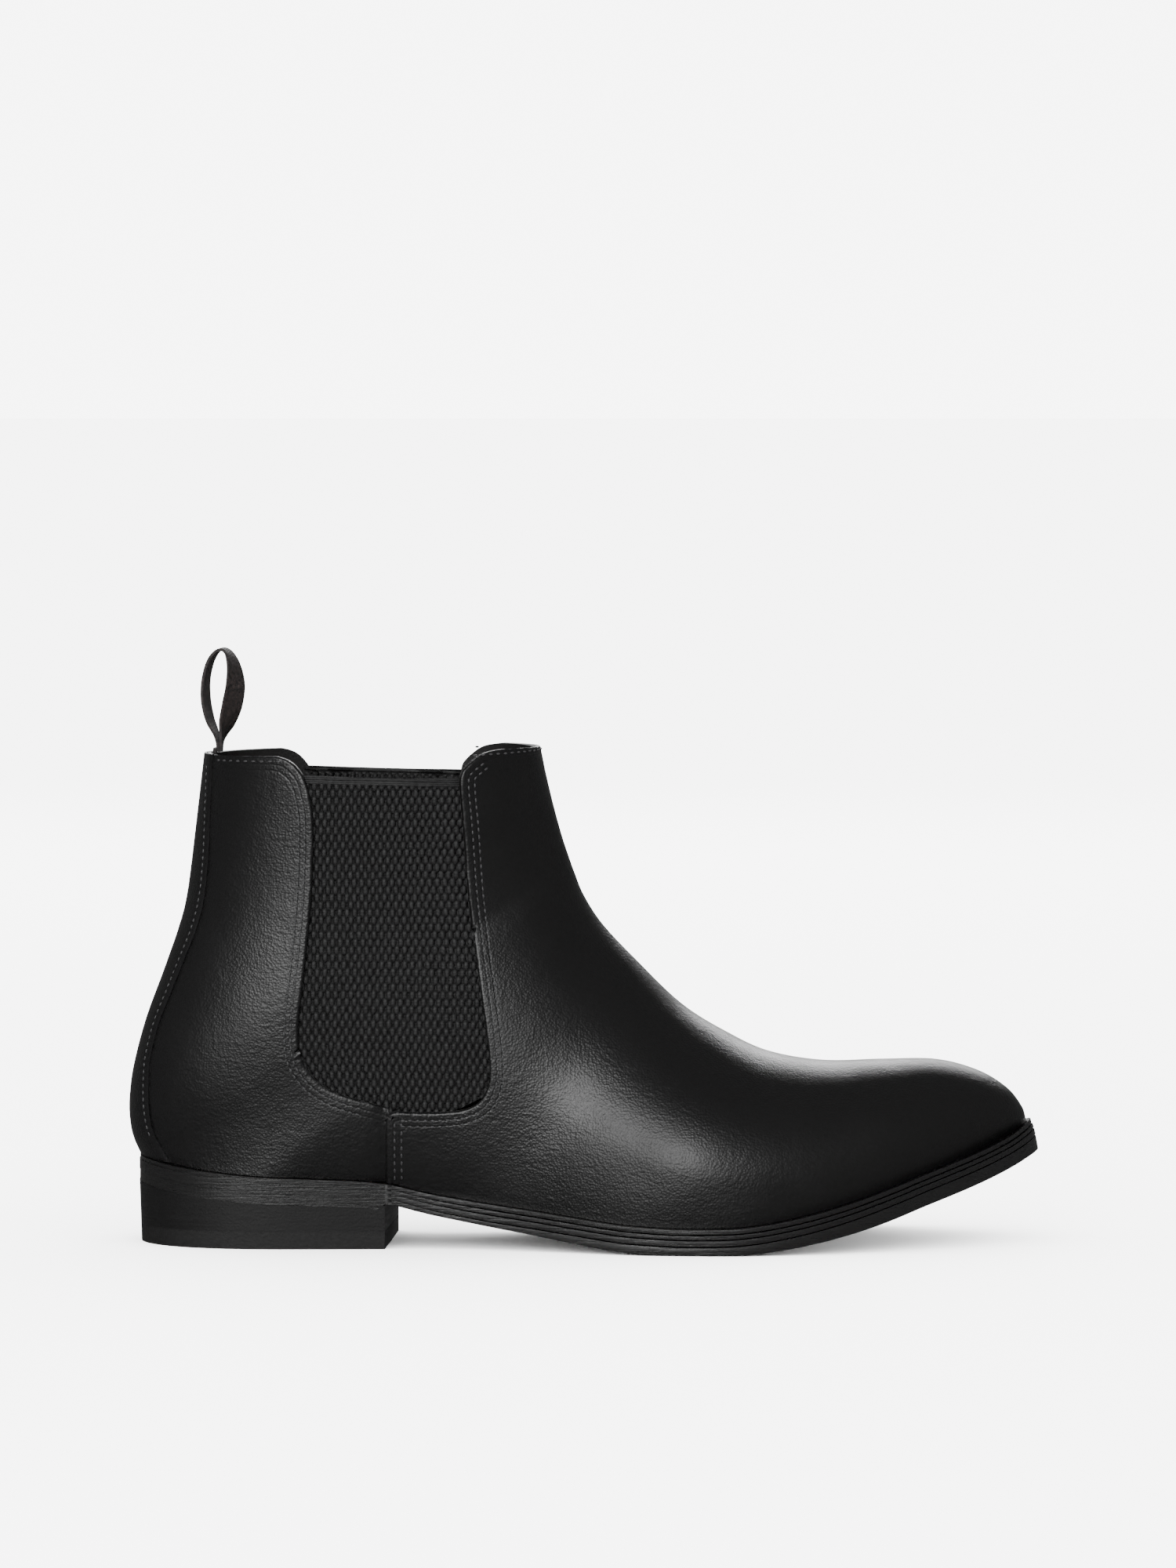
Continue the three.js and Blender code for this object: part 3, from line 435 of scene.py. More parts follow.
def calf(name, color=(0.0011, 0.0011, 0.0012), roughness=0.38, grooves=(), grain=1.0):
    """Polished calf, with a groove at each given distance from the panel's edge."""
    material, nodes, links, shader = new_material(
        name, color, roughness, Specular_IOR_Level=0.5, Coat_Weight=0.12, Coat_Roughness=0.28
    )
    pores = pattern(nodes, links, "ShaderNodeTexVoronoi", 1250, Randomness=0.9)
    wrinkles = pattern(nodes, links, "ShaderNodeTexNoise", 420, (1, 1, 1.7), Detail=5, Roughness=0.6)
    clouds = pattern(nodes, links, "ShaderNodeTexNoise", 26, Detail=3, Roughness=0.5)
    links.new(
        curve_of(nodes, links, clouds.outputs["Fac"], [(0.3, roughness - 0.05), (0.7, roughness + 0.06)]),
        shader.inputs["Roughness"],
    )
    layers = [
        (pores.outputs["Distance"], 0.00009 * grain),
        (wrinkles.outputs["Fac"], 0.00016 * grain),
        (clouds.outputs["Fac"], 0.0008 * grain),
    ]
    if grooves:
        scaled = nodes.new("ShaderNodeMath")
        scaled.operation = "MULTIPLY"
        scaled.inputs[1].default_value = 0.1
        links.new(attribute_of(nodes, "edge_mm"), scaled.inputs[0])
        stops = [(0.0, 1.0)]
        for place in grooves:
            stops += [((place - 0.5) / 10, 1.0), (place / 10, 0.0), ((place + 0.5) / 10, 1.0)]
        layers.append((curve_of(nodes, links, scaled.outputs["Value"], stops), 0.00007))
    add_bumps(nodes, links, shader, layers)
    return material


CALF = calf("black_calf", grooves=ROW_PLACES)
LINING = calf("lining_calf", (0.0028, 0.0023, 0.0021), 0.55, grain=0.8)


# %% [markdown]
# ## Yarn
# Thread, elastic and webbing are all yarn. Fine stretched noise is enough for the fibres, since the knots
# of the elastic and the ribs of the webbing are real shapes. The elastic's `knot` attribute darkens the
# gaps between knots with painted shade, standing in for the shadow that falls between them.

# %% Thread, elastic and webbing
def thread():
    material, nodes, links, shader = new_material("waxed_thread", (0.012, 0.012, 0.0125), 0.3)
    twist = pattern(nodes, links, "ShaderNodeTexNoise", 5200, Detail=2)
    add_bumps(nodes, links, shader, [(twist.outputs["Fac"], 0.00008)])
    return material


def cloth(name, color, roughness=0.6, fibre=5200, tint=None, high=None):
    """Woven yarn; `high` names the attribute that is 1 on top of the weave; where it is low the colour gets
    painted shade.
    """
    material, nodes, links, shader = new_material(name, color, roughness, Specular_IOR_Level=0.5)
    fuzz = pattern(nodes, links, "ShaderNodeTexNoise", fibre, (1, 1, 0.35), Detail=4, Roughness=0.65)
    tone = pattern(nodes, links, "ShaderNodeTexNoise", 900, Detail=3)
    dark, light = [c * 0.55 for c in color], list(tint or [c * 1.9 for c in color])
    shade = curve_of(nodes, links, tone.outputs["Fac"], [(0.3, tuple(dark)), (0.72, tuple(light))])
    # Painted shade: the colour goes near black in the gaps between knots, where shadow falls
    if high is not None:
        painted_gap_shade = nodes.new("ShaderNodeMixRGB")
        painted_gap_shade.inputs["Color1"].default_value = (0.0002, 0.0002, 0.0002, 1)
        unshaded_share = curve_of(nodes, links, attribute_of(nodes, high), [(0.1, 0.0), (0.75, 1.0)])
        links.new(unshaded_share, painted_gap_shade.inputs["Fac"])
        links.new(shade, painted_gap_shade.inputs["Color2"])
        shade = painted_gap_shade.outputs["Color"]
    links.new(shade, shader.inputs["Base Color"])
    add_bumps(nodes, links, shader, [(fuzz.outputs["Fac"], 0.00016)])
    return material


THREAD = thread()
ELASTIC = cloth("elastic_yarn", (0.0022, 0.0022, 0.0023), 0.44, high="knot")
WEBBING = cloth("loop_webbing", (0.004, 0.003, 0.0029), tint=(0.013, 0.006, 0.005))


# %% [markdown]
# ## Sole and hidden materials
# The sole's edge is cut leather, sanded, inked and waxed: long fibres lie along it, and the wax shines
# unevenly. The heel is sanded finer. Rubber, board, cork, steel and felt share one recipe, a grain that
# shades and roughens.

# %% Sole leather, rubber and hidden materials
def edge_leather(name, color=(0.002, 0.002, 0.002), roughness=0.3, depth=0.0002):
    """Inked and waxed leather with fibres along the boot."""
    material, nodes, links, shader = new_material(name, color, roughness, Coat_Weight=0.1, Coat_Roughness=0.3)
    fibres = pattern(nodes, links, "ShaderNodeTexNoise", 260, (0.25, 0.25, 5), Detail=5, Roughness=0.65)
    specks = pattern(nodes, links, "ShaderNodeTexNoise", 1300, Detail=3)
    rough = curve_of(nodes, links, fibres.outputs["Fac"], [(0.3, roughness - 0.08), (0.7, roughness + 0.14)])
    links.new(rough, shader.inputs["Roughness"])
    add_bumps(nodes, links, shader, [(fibres.outputs["Fac"], depth), (specks.outputs["Fac"], 0.00008)])
    return material


def plain(name, color, roughness, scale=500, depth=0.0002, **sockets):
    """One grain that both shades and roughens."""
    material, nodes, links, shader = new_material(name, color, roughness, **sockets)
    grain = pattern(nodes, links, "ShaderNodeTexNoise", scale, Detail=5, Roughness=0.6)
    darker, lighter = tuple(c * 0.7 for c in color), tuple(c * 1.3 for c in color)
    shade = curve_of(nodes, links, grain.outputs["Fac"], [(0.3, darker), (0.7, lighter)])
    links.new(shade, shader.inputs["Base Color"])
    add_bumps(nodes, links, shader, [(grain.outputs["Fac"], depth)])
    return material


EDGE = edge_leather("inked_sole_edge")
HEEL_EDGE = edge_leather("inked_heel_edge", (0.001, 0.001, 0.0011), 0.5, 0.00005)
RUBBER = plain("heel_rubber", (0.002, 0.002, 0.002), 0.62, 900)
BOARD = plain("insole_board", (0.2, 0.13, 0.08), 0.7, 400)
CORK = plain("cork", (0.3, 0.19, 0.1), 0.9, 350, 0.0008)
STEEL = plain("plain_steel", (0.5, 0.5, 0.52), 0.32, 2000, 0.00003, Metallic=1.0)
STIFFENER = plain("stiffener_felt", (0.42, 0.39, 0.33), 0.95, 1500)
print("finishes:", sorted(m.name for m in bpy.data.materials))

# %% [markdown]
# ## Pattern lines
# The edges that show are drawn in side view: the quarter's edge behind the elastic, the vamp's edge in
# front of it, and the strip over the back seam. `find_on_last` then says where each point of a line lies on
# the last.

# %% Lines of the pattern
QUARTER_EDGE = [
    (50, 163.2), (53.4, 162.2), (56.6, 159.9), (59.6, 155.6), (61.4, 149), (62.4, 140), (61.9, 120),
    (60.6, 103), (58.9, 87.5), (57.5, 74), (58.1, 64.4), (61.3, 58.4), (66.6, 53.8), (74.2, 50.6),
    (81.7, 48.6), (87.5, 46.9),
]
VAMP_EDGE = [
    (86.6, 43.4), (87.8, 45.2), (91, 45.7), (97, 45.5), (106, 45.7), (112.8, 46.8), (117.4, 49.4),
    (120, 54), (120.8, 60.3), (119.7, 72.5), (116.6, 95.3), (114, 117), (112.5, 138), (111.3, 152),
    (111.6, 157), (113.4, 159.8), (117.6, 163.2), (121, 164.6), (126, 165.4),
]
SEAM_X, SEAM_TOP = 86.4, 42.2
COLLAR_HEIGHT = 163.2
STRIP_EDGE = [
    (14.6, 27.8), (9.6, 36), (7.7, 44), (7.4, 54), (8.2, 63), (11, 74), (15, 84), (19.4, 95), (23.4, 105),
    (26, 115), (27.4, 128), (28.1, 145), (28.8, 163),
]


def on_side(points, side):
    """A side-view line as (u, v) rows."""
    u, v = find_on_last(points[:, 0], points[:, 1], side)
    return np.stack([u, v], -1)


def edge_points(uv, spacing=0.25):
    """Dense points of a (u, v) line on the last, for measuring distances to it."""
    p = last_point(uv[:, 0], uv[:, 1])
    length = np.concatenate([[0], np.cumsum(np.linalg.norm(np.diff(p, axis=0), axis=1))])
    at = np.arange(0, length[-1], spacing)
    return np.stack([np.interp(at, length, p[:, k]) for k in range(3)], -1)


def straight(a, b, count):
    """Points between two ends, without the ends."""
    return [tuple(np.array(a) + (np.array(b) - np.array(a)) * i / count) for i in range(1, count)]


# %% [markdown]
# ## Vamp
# The vamp is one piece of calf: toe, instep, tongue-high front and both wings under the elastic. Its
# outline starts at the collar, runs down the outer window edge and the outer seam, round the feather line
# at the toe, and back up the inner side.

# %% The vamp
def vamp_side_line(side):
    """From the collar down the window's edge and down the seam to the sole, as (u, v)."""
    window = sampled(VAMP_EDGE, 8)[::-1]
    seam = np.stack([np.full(8, SEAM_X), np.linspace(SEAM_TOP, float(feather_height(SEAM_X)), 8)], -1)
    return np.concatenate([on_side(window, side), on_side(seam, side)])


def vamp_outline():
    """The whole outline as (u, v), and the points of its visible edge on the last."""
    half = {side: vamp_side_line(side) for side in (-1, 1)}
    feather_u = np.linspace(half[-1][-1][0], 0.02, 90)[1:]
    outer = [(u, -0.999) for u in feather_u]
    inner = [(u, 0.999) for u in feather_u[::-1]]
    collar = straight(half[1][0], half[-1][0], 24)
    outline = [tuple(p) for p in half[-1]] + outer + inner + [tuple(p) for p in half[1][::-1]] + collar
    edge = np.concatenate([edge_points(half[s]) for s in (-1, 1)] + [edge_points(np.array(collar))])
    return outline, edge


outline, vamp_edge_line = vamp_outline()
vamp = last_panel("vamp_leather", cut_flat(outline), 0.0, -1.4, CALF, vamp_edge_line)


# %% [markdown]
# ## Quarters and back strip
# Two quarters wrap the heel and meet at the back under a narrow strip. Each quarter ends at the seam in
# front, where the vamp laps over it, so the quarter runs a little further forward and lies just under the
# vamp there.

# %% The quarters
def quarter_outline(side):
    """The same for one quarter: sole, back seam, collar, window edge and side seam."""
    edge = on_side(sampled(QUARTER_EDGE, 6), side)
    top = np.array([(x, COLLAR_HEIGHT - 0.012 * (50 - x)) for x in np.linspace(28, 50, 12)[:-1]])
    top = on_side(top, side)
    seam = on_side(np.array([(SEAM_X + 1.1, z) for z in np.linspace(44.6, 21.6, 8)]), side)
    feather = [(u, side * 0.999) for u in np.linspace(seam[-1][0], 13.93, 40)[1:]]
    back = [(u, side * 0.999) for u in np.linspace(14.0, 18.96, 40)]
    outline = feather + back + [tuple(p) for p in top] + [tuple(p) for p in edge] + [tuple(p) for p in seam]
    return outline, edge_points(np.concatenate([top, edge]))


def under_vamp(u, v, skin):
    """Sinks the quarter where the vamp laps over it."""
    return -0.9 * np.clip((skin[:, 0] - 82.5) / 3.0, 0, 1)


SIDES = {"lateral": -1, "medial": 1}
quarters = {}
for word, side in SIDES.items():
    outline, line = quarter_outline(side)
    flat = cut_flat(outline)
    quarters[word] = last_panel(f"quarter_leather_{word}", flat, 0.0, -1.3, CALF, line, lift=under_vamp)

# %% [markdown]
# ## Back strip
# The seam up the back is hidden by a narrow strip. It crosses the back line, where the ribs of the two
# sides meet, so it can't be one flat panel like the others. It is a grid across the seam instead: each row
# runs from the outer edge round the back to the inner edge.

# %% The strip over the back seam
def strip_edge():
    """The strip's edge from the sole to the collar: x and height."""
    line = sampled(STRIP_EDGE, 4)
    height = np.maximum(line[:, 1], feather_height(line[:, 0]) + 0.2)
    return line[:, 0], height


def back_strip():
    """A net across the seam, laid on the last by rows."""
    edge_x, height = strip_edge()
    rows, across = len(edge_x), 21
    t = np.linspace(-1, 1, across)
    bm = bmesh.new()
    bmesh.ops.create_grid(bm, x_segments=across - 1, y_segments=rows - 1, size=0.5)
    bmesh.ops.extrude_face_region(bm, geom=bm.faces[:], use_keep_orig=True)
    bm.verts.ensure_lookup_table()
    flat = len(bm.verts) // 2
    t_of = np.array([round((v.co.x + 0.5) * (across - 1)) for v in bm.verts])
    row_of = np.array([round((v.co.y + 0.5) * (rows - 1)) for v in bm.verts])
    back_x = back_line(np.maximum(height, 29.25))
    turn = (1 - np.cos(np.abs(t) * math.pi / 2))[t_of]
    x = back_x[row_of] + (edge_x - back_x)[row_of] * turn
    z = np.maximum(height[row_of], feather_height(x) + 0.2)
    side = np.where(t[t_of] < 0, -1.0, 1.0)
    u, v = find_on_last(np.maximum(x, back_line(np.maximum(z, 29.25)) + 0.003), z, side)
    inner = np.arange(len(bm.verts)) >= flat
    to_edge = (1 - np.abs(t[t_of])) * 7.0
    gap = np.clip(1 - to_edge / 0.6, 0, 1)
    depth = np.where(inner, -0.3, 0.95 - 0.5 * gap)
    layer = bm.verts.layers.float.new("edge_mm")
    for vertex, p, d in zip(bm.verts, placed(on_last(u, v, depth)), to_edge):
        vertex.co = p
        vertex[layer] = d
    bmesh.ops.recalc_face_normals(bm, faces=bm.faces[:])
    return finish_piece("back_strip_leather", bm, CALF_STRIP)


CALF_STRIP = calf("black_calf_strip", grooves=(1.3,), grain=1.0)
strip = back_strip()
print("back strip faces", len(strip.data.polygons))

# %% [markdown]
# ## Linings
# Thin calf lines the whole inside. It is seen at the collar, where it comes up level with the leather, and
# down the shaft. It is cut from the same outlines and laid further in, which keeps its edge parallel to the
# leather's. It stops at the elastic, whose weave is seen from inside too.

# %% The linings
COARSE = {"u_step": 0.3, "v_step": 0.036}


def vamp_lining():
    """The vamp's outline again, cut into a coarser net and kept clear of the toe's tip."""
    half = {side: vamp_side_line(side) for side in (-1, 1)}
    feather_u = np.linspace(half[-1][-1][0], 0.4, 60)[1:]
    collar = straight(half[1][0], half[-1][0], 24)
    outline = [tuple(p) for p in half[-1]] + [(u, -0.985) for u in feather_u]
    outline += [(u, 0.985) for u in feather_u[::-1]] + [tuple(p) for p in half[1][::-1]] + collar
    return cut_flat(outline, **COARSE)


vamp_lining_piece = last_panel("vamp_lining_leather", vamp_lining(), -1.7, -2.5, LINING, vamp_edge_line, 0.3)
quarter_linings = {}
for word, side in SIDES.items():
    outline, line = quarter_outline(side)
    bm = cut_flat(outline, **COARSE)
    quarter_linings[word] = last_panel(f"quarter_lining_leather_{word}", bm, -1.6, -2.4, LINING, line, 0.3)

# %% [markdown]
# ## Elastic
# The elastic is woven with fat yarn knots in staggered rows, and the light picks out every knot. The knots
# are real relief on a fine grid: 2.5 mm apart along a row, and each row shifted by half. A bump map would
# be lighter, but the outline against the light and the small shadows between the knots would go.

# %% The elastic panels
KNOT_ACROSS, KNOT_UP = 2.54, 2.46
quarter_x = reader(QUARTER_EDGE[3:13], 1, 0)
vamp_x = reader(VAMP_EDGE[6:14], 1, 0)


def elastic_place(s, t):
    """A place on the panel: s from its back edge to its front edge, t from its foot to its top."""
    top = 157.3 - 1.3 * s - 0.5 * np.sin(math.pi * s)
    foot = 43.4 + 9.5 * np.abs(2 * s - 0.98) ** 2.4
    z = foot + (top - foot) * t
    back = quarter_x(np.clip(z, 58.5, 155.0)) - 2.6 + 0.35 * np.clip(58.5 - z, 0, 20)
    front = vamp_x(np.clip(z, 50.5, 151.5)) + 2.6 - 0.25 * np.clip(50.5 - z, 0, 20)
    return back + (front - back) * s, z


def knots(x, z):
    """Height of the weave in mm at a place in side view."""
    row = np.floor(z / KNOT_UP)
    dx = (x / KNOT_ACROSS + 0.5 * (row % 2)) % 1 - 0.5
    dz = (z / KNOT_UP) % 1 - 0.5
    height = np.zeros_like(x)
    for shift_row, shift in ((0, 0.0), (1, 0.5), (-1, 0.5)):
        a = ((dx + shift + 0.5) % 1 - 0.5) * KNOT_ACROSS
        b = (dz - shift_row) * KNOT_UP
        knot = np.clip(1 - (a / 1.02) ** 2 - (b / 1.5) ** 2, 0, 1) ** 0.5
        height = np.maximum(height, knot)
    return height


def elastic_panel(side, word, nx=190, nz=330):
    """One panel: a fine grid raised by the knots, with two cords along its hem."""
    bm = bmesh.new()
    bmesh.ops.create_grid(bm, x_segments=nx - 1, y_segments=nz - 1, size=0.5)
    co = np.array([v.co for v in bm.verts])
    s, t = co[:, 0] + 0.5, co[:, 1] + 0.5
    x, z = elastic_place(s, t)
    u, v = find_on_last(x, z, side)
    height = knots(x + 0.25 * np.sin(z / 9.0), z)
    below_top = 157.0 - 1.3 * s - z
    hem = np.clip((2.6 - below_top) / 0.4, 0, 1)
    cord = np.maximum(*[np.sqrt(np.clip(1 - ((below_top - c) / 0.6) ** 2, 0, 1)) for c in (0.35, 1.7)])
    depth = -2.35 + height * 0.95 * (1 - hem) + hem * (0.35 + 0.6 * cord)
    # The knot height also drives the painted shade between the knots in the elastic's material
    layer = bm.verts.layers.float.new("knot")
    for vertex, p, k in zip(bm.verts, placed(on_last(u, v, depth)), np.maximum(height, hem)):
        vertex.co = p
        vertex[layer] = k
    if side > 0:
        bmesh.ops.reverse_faces(bm, faces=bm.faces[:])
    bmesh.ops.solidify(bm, geom=bm.faces[:], thickness=0.0006)
    bmesh.ops.recalc_face_normals(bm, faces=bm.faces[:])
    return finish_piece(f"elastic_{word}", bm, ELASTIC, angle=80)


elastics = {word: elastic_panel(side, word) for word, side in SIDES.items()}
print("elastic faces", [len(e.data.polygons) for e in elastics.values()])

# %% [markdown]
# ## Stitching
# Each stitch is a short fat thread that dips at both ends. A low sphere from `create_uvsphere`, stretched
# along the row, is enough at this size, and one object holds all rows of a panel. Curves with a bevel would
# need a long dash pattern worked out by hand. Rows follow the pattern lines at a fixed distance.

# %% Stitch rows
def offset(points, distance):
    """A side-view line moved sideways."""
    step = np.gradient(points, axis=0)
    step /= np.maximum(np.linalg.norm(step, axis=1, keepdims=True), 1e-9)
    return points + np.stack([-step[:, 1], step[:, 0]], -1) * distance


def stitch_row(bm, uv, pitch=2.45, length=1.45, thick=0.66, lift=0.12):
    """Adds one row of stitches along a (u, v) line, evenly spaced."""
    p = on_last(uv[:, 0], uv[:, 1], lift)
    run = np.concatenate([[0], np.cumsum(np.linalg.norm(np.diff(p, axis=0), axis=1))])
    count = max(int(run[-1] / pitch), 1)
    for i in range(count):
        middle = (i + 0.5) * run[-1] / count
        at = [np.interp(middle + d, run, np.arange(len(run))) for d in (-0.4, 0, 0.4)]
        place = [np.stack([np.interp(a, np.arange(len(run)), p[:, k]) for k in range(3)]) for a in at]
        u, v = [np.interp(at[1], np.arange(len(run)), uv[:, k]) for k in range(2)]
        ahead = Vector(place[2] - place[0]).normalized()
        out = Vector(last_normal(u, v))
        aside = out.cross(ahead).normalized()
        out = ahead.cross(aside)
        turn = Matrix((ahead, aside, out)).transposed().to_4x4()
        size = Matrix.Diagonal((length / 2000, thick / 2000, thick / 2400, 1))
        where = Matrix.Translation(placed(place[1]))
        matrix = where @ turn @ size @ Matrix.Rotation(math.pi / 2, 4, "Y")
        bmesh.ops.create_uvsphere(bm, u_segments=8, v_segments=5, radius=1, matrix=matrix)
    return count


def stitch_piece(name, rows):
    """All rows of one panel as one piece of thread."""
    bm = bmesh.new()
    total = sum(stitch_row(bm, uv, **options) for uv, options in rows)
    print(name, "stitches", total)
    return finish_piece(name, bm, THREAD, angle=180)


# %% [markdown]
# ## Where the rows run
# Two rows follow each edge of the elastic's window, and two run down the side seam. One row runs along the
# collar, in front and behind, and one along each edge of the back strip.

# %% Every row of the boot
vamp_rows, quarter_rows = [], {-1: [], 1: []}
for side in (-1, 1):
    vamp_line = sampled(VAMP_EDGE[2:-2], 6)
    for distance in ROW_PLACES:
        vamp_rows.append((on_side(offset(vamp_line, -distance), side), {}))
        quarter_line = sampled(QUARTER_EDGE[3:], 6)
        quarter_rows[side].append((on_side(offset(quarter_line, -distance)[:-8], side), {}))
    for place in (2.9, 5.2):
        seam = np.array([(SEAM_X + place, z) for z in np.linspace(42.6, 22.4, 12)])
        vamp_rows.append((on_side(seam, side), {}))
    top = np.array([(x, 161.5 - 0.012 * (50 - x)) for x in np.linspace(29.8, 52.5, 10)])
    quarter_rows[side].append((on_side(top, side), {"pitch": 2.8}))
front = np.stack([np.full(30, LAST_RIB - 0.19), np.linspace(-0.3, 0.3, 30)], -1)
vamp_rows.append((front, {"pitch": 2.8}))
vamp_stitches = stitch_piece("vamp_stitches", vamp_rows)
quarter_stitches = {w: stitch_piece(f"quarter_stitches_{w}", quarter_rows[s]) for w, s in SIDES.items()}
strip_rows = []
edge_x, height = strip_edge()
for side in (-1, 1):
    inset_line = np.stack([edge_x - 1.3, height], -1)[4:-1]
    inset_line[:, 0] = np.maximum(inset_line[:, 0], back_line(np.maximum(inset_line[:, 1], 29.3)) + 0.4)
    strip_rows.append((on_side(inset_line, side), {"pitch": 2.3, "lift": 0.95}))
strip_stitches = stitch_piece("back_strip_stitches", strip_rows)

# %% [markdown]
# ## Sole edge
# Seen from the side the sole is a stack of bands with dark grooves between them. Every layer is the same
# plan outline, so one helper makes each: a strip of faces across the sole, lifted to the feather line,
# given its thickness with `extrude_face_region`, and its rim rounded with `bevel`. The layers fade into one
# plain edge in the waist, so there the grooves close up.

# %% Thickness and stations
SOLE_TAIL, SOLE_TIP = 3.305, 304.385


def give_thickness(bm, lower):
    """Extrudes the whole net and moves the new face to the given places, one for each first vertex."""
    pair = bm.verts.layers.int.new("pair")
    for i, vertex in enumerate(bm.verts):
        vertex[pair] = i
    geom = bmesh.ops.extrude_face_region(bm, geom=bm.faces[:], use_keep_orig=True)["geom"]
    for vertex in (g for g in geom if isinstance(g, bmesh.types.BMVert)):
        vertex.co = lower[vertex[pair]]
    bmesh.ops.recalc_face_normals(bm, faces=bm.faces[:])


def sole_stations(count=150):
    """Places along the sole, closer together where the outline turns."""
    t = np.linspace(0, 1, count)
    s = 0.5 - 0.5 * np.cos(math.pi * t)
    s = 0.55 * s + 0.45 * t
    ends = np.array([0, 0.0002, 0.0009, 0.0022, 0.0042])
    return SOLE_TAIL + (SOLE_TIP - SOLE_TAIL) * np.unique(np.concatenate([ends, s[2:-2], 1 - ends]))


def toe_lean(x, height):
    """The sole's edge leans back at the very toe, from the tread's tip up to the welt."""
    t = np.clip((x - 284) / 20, 0, 1)
    return 0.3 * t * t * np.clip(height - 31.5, 0, None)


# %% [markdown]
# ## One layer
# The grid's columns become stations along the sole and its rows shares of the width. Near the toe the
# layers lean back, one over the other. Only the part in front of the heel gets a rounded rim: over the heel
# the layers are sanded into one wall.

# %% One layer of the sole
BREAST = placed((88.0, 0.0, 0.0))[0]
RIM_ANGLE = 0.7


def level(height, x):
    """A layer's face: feather height plus a number or a function of x."""
    return feather_height(x) + (height(x) if callable(height) else height)


def round_rim(bm, width, segments, start=-1.0):
    """Bevels the sharp edges that lie in front of a place, in metres along the boot."""
    rim = [e for e in bm.edges if len(e.link_faces) == 2 and e.calc_face_angle(0) > RIM_ANGLE]
    rim = [e for e in rim if min(v.co.x for v in e.verts) > start]
    bmesh.ops.bevel(
        bm, geom=rim, offset=width / 1000, segments=segments, affect="EDGES", profile=0.5, material=-1,
        clamp_overlap=True,
    )


def sole_layer(name, top, bottom, material, inset=0.0, xs=None, across=7, bevel=0.42, outlines=None,
               bulge=None):
    """One layer, between two heights above the feather line; either may be a function of x."""
    xs = sole_stations() if xs is None else xs
    left_of, right_of = outlines or (sole_outside, sole_inside)
    bm = bmesh.new()
    bmesh.ops.create_grid(bm, x_segments=len(xs) - 1, y_segments=across - 1, size=0.5)
    co = np.array([v.co for v in bm.verts])
    i = np.rint((co[:, 0] + 0.5) * (len(xs) - 1)).astype(int)
    t = co[:, 1] + 0.5
    x = xs[i]
    left, right = left_of(x), right_of(x)
    middle, half = (left + right) / 2, np.maximum((right - left) / 2 - inset, 0.15)
    squeeze = (xs[-1] - xs[0] - 2 * inset) / (xs[-1] - xs[0])
    x_in = xs[0] + inset + (x - xs[0]) * squeeze
    y = middle + half * (2 * t - 1)
    high, low = level(top, x_in), level(bottom, x_in)
    tops = placed(np.stack([x_in - toe_lean(x_in, high), y, high], -1))
    if bulge is not None:
        low = bulge(x_in, t, low)
    lows = placed(np.stack([x_in - toe_lean(x_in, low), y, low], -1))
    for vertex, p in zip(bm.verts, tops):
        vertex.co = p
    give_thickness(bm, lows)
    round_rim(bm, bevel, 3, BREAST)
    return finish_piece(name, bm, material, angle=60)


# %% [markdown]
# ## The sole's bands
# From the top: the welt, two bands of midsole and the outsole. Depths are below the feather line. The
# outsole is thinner in the waist and thicker under the toe, and its tread bulges a little, so the boot
# stands on the ball.

# %% The four layers
WELT_TOP, WELT_FOOT, MIDSOLE_JOINT, OUTSOLE_JOINT, OUTSOLE_FOOT = -0.1, -1.55, -3.25, -5.5, -8.8
GROOVE, TREAD_BULGE = 0.42, 0.4


def fades(x, start=78.0, end=125.0):
    """0 in the waist and heel, 1 along the forepart."""
    t = np.clip((x - start) / (end - start), 0, 1)
    return t * t * (3 - 2 * t)


def joint(depth, rise=0.0, groove=0.0):
    """A joint of two layers: it rises in the waist and opens into a groove along the forepart."""
    return lambda x: depth + rise * (1 - fades(x)) - groove * fades(x)


def outsole_foot(x):
    waist_thin = 2.2 * (1 - fades(x, 84, 175))
    toe_extra = 1.7 * np.clip((x - 205) / 45, 0, 1)
    return OUTSOLE_FOOT + waist_thin * (x > 84) - toe_extra


def tread(x, t, low):
    """The tread bulges below the edge and is flat on the ground under the ball."""
    edge = np.maximum(low, TREAD_BULGE)
    reach = np.clip(np.minimum((x - 90) / 60, (296 - x) / 60), 0, 1)
    in_from_edge = np.clip(np.minimum(t, 1 - t) / 0.16, 0, 1)
    return edge - TREAD_BULGE * reach * in_from_edge * (2 - in_from_edge)


upper_top, upper_foot = joint(WELT_FOOT, groove=GROOVE), joint(MIDSOLE_JOINT, 0.25)
lower_top, lower_foot = joint(MIDSOLE_JOINT, 0.25, GROOVE), joint(OUTSOLE_JOINT, 0.7)
outsole_top = joint(OUTSOLE_JOINT, 0.7, GROOVE)
welt = sole_layer("welt", WELT_TOP, WELT_FOOT, EDGE, 0.25)
midsole_upper = sole_layer("midsole_upper", upper_top, upper_foot, EDGE)
midsole_lower = sole_layer("midsole_lower", lower_top, lower_foot, EDGE)
outsole = sole_layer("outsole", outsole_top, outsole_foot, EDGE, 0.15, across=13, bulge=tread)
print("sole's edge at the ball, mm:", round(float(level(WELT_TOP, 180.0) - level(outsole_foot, 180.0)), 2))

# %% [markdown]
# ## Heel
# The heel is a stack of leather lifts, nailed and glued, sanded flush and inked, with a rubber top lift.
# Sanding closes the joints to faint lines, so each lift has only a hair's breadth of bevel along its rim.
# One tall block with painted lines would look the same from afar, but it couldn't be taken apart.

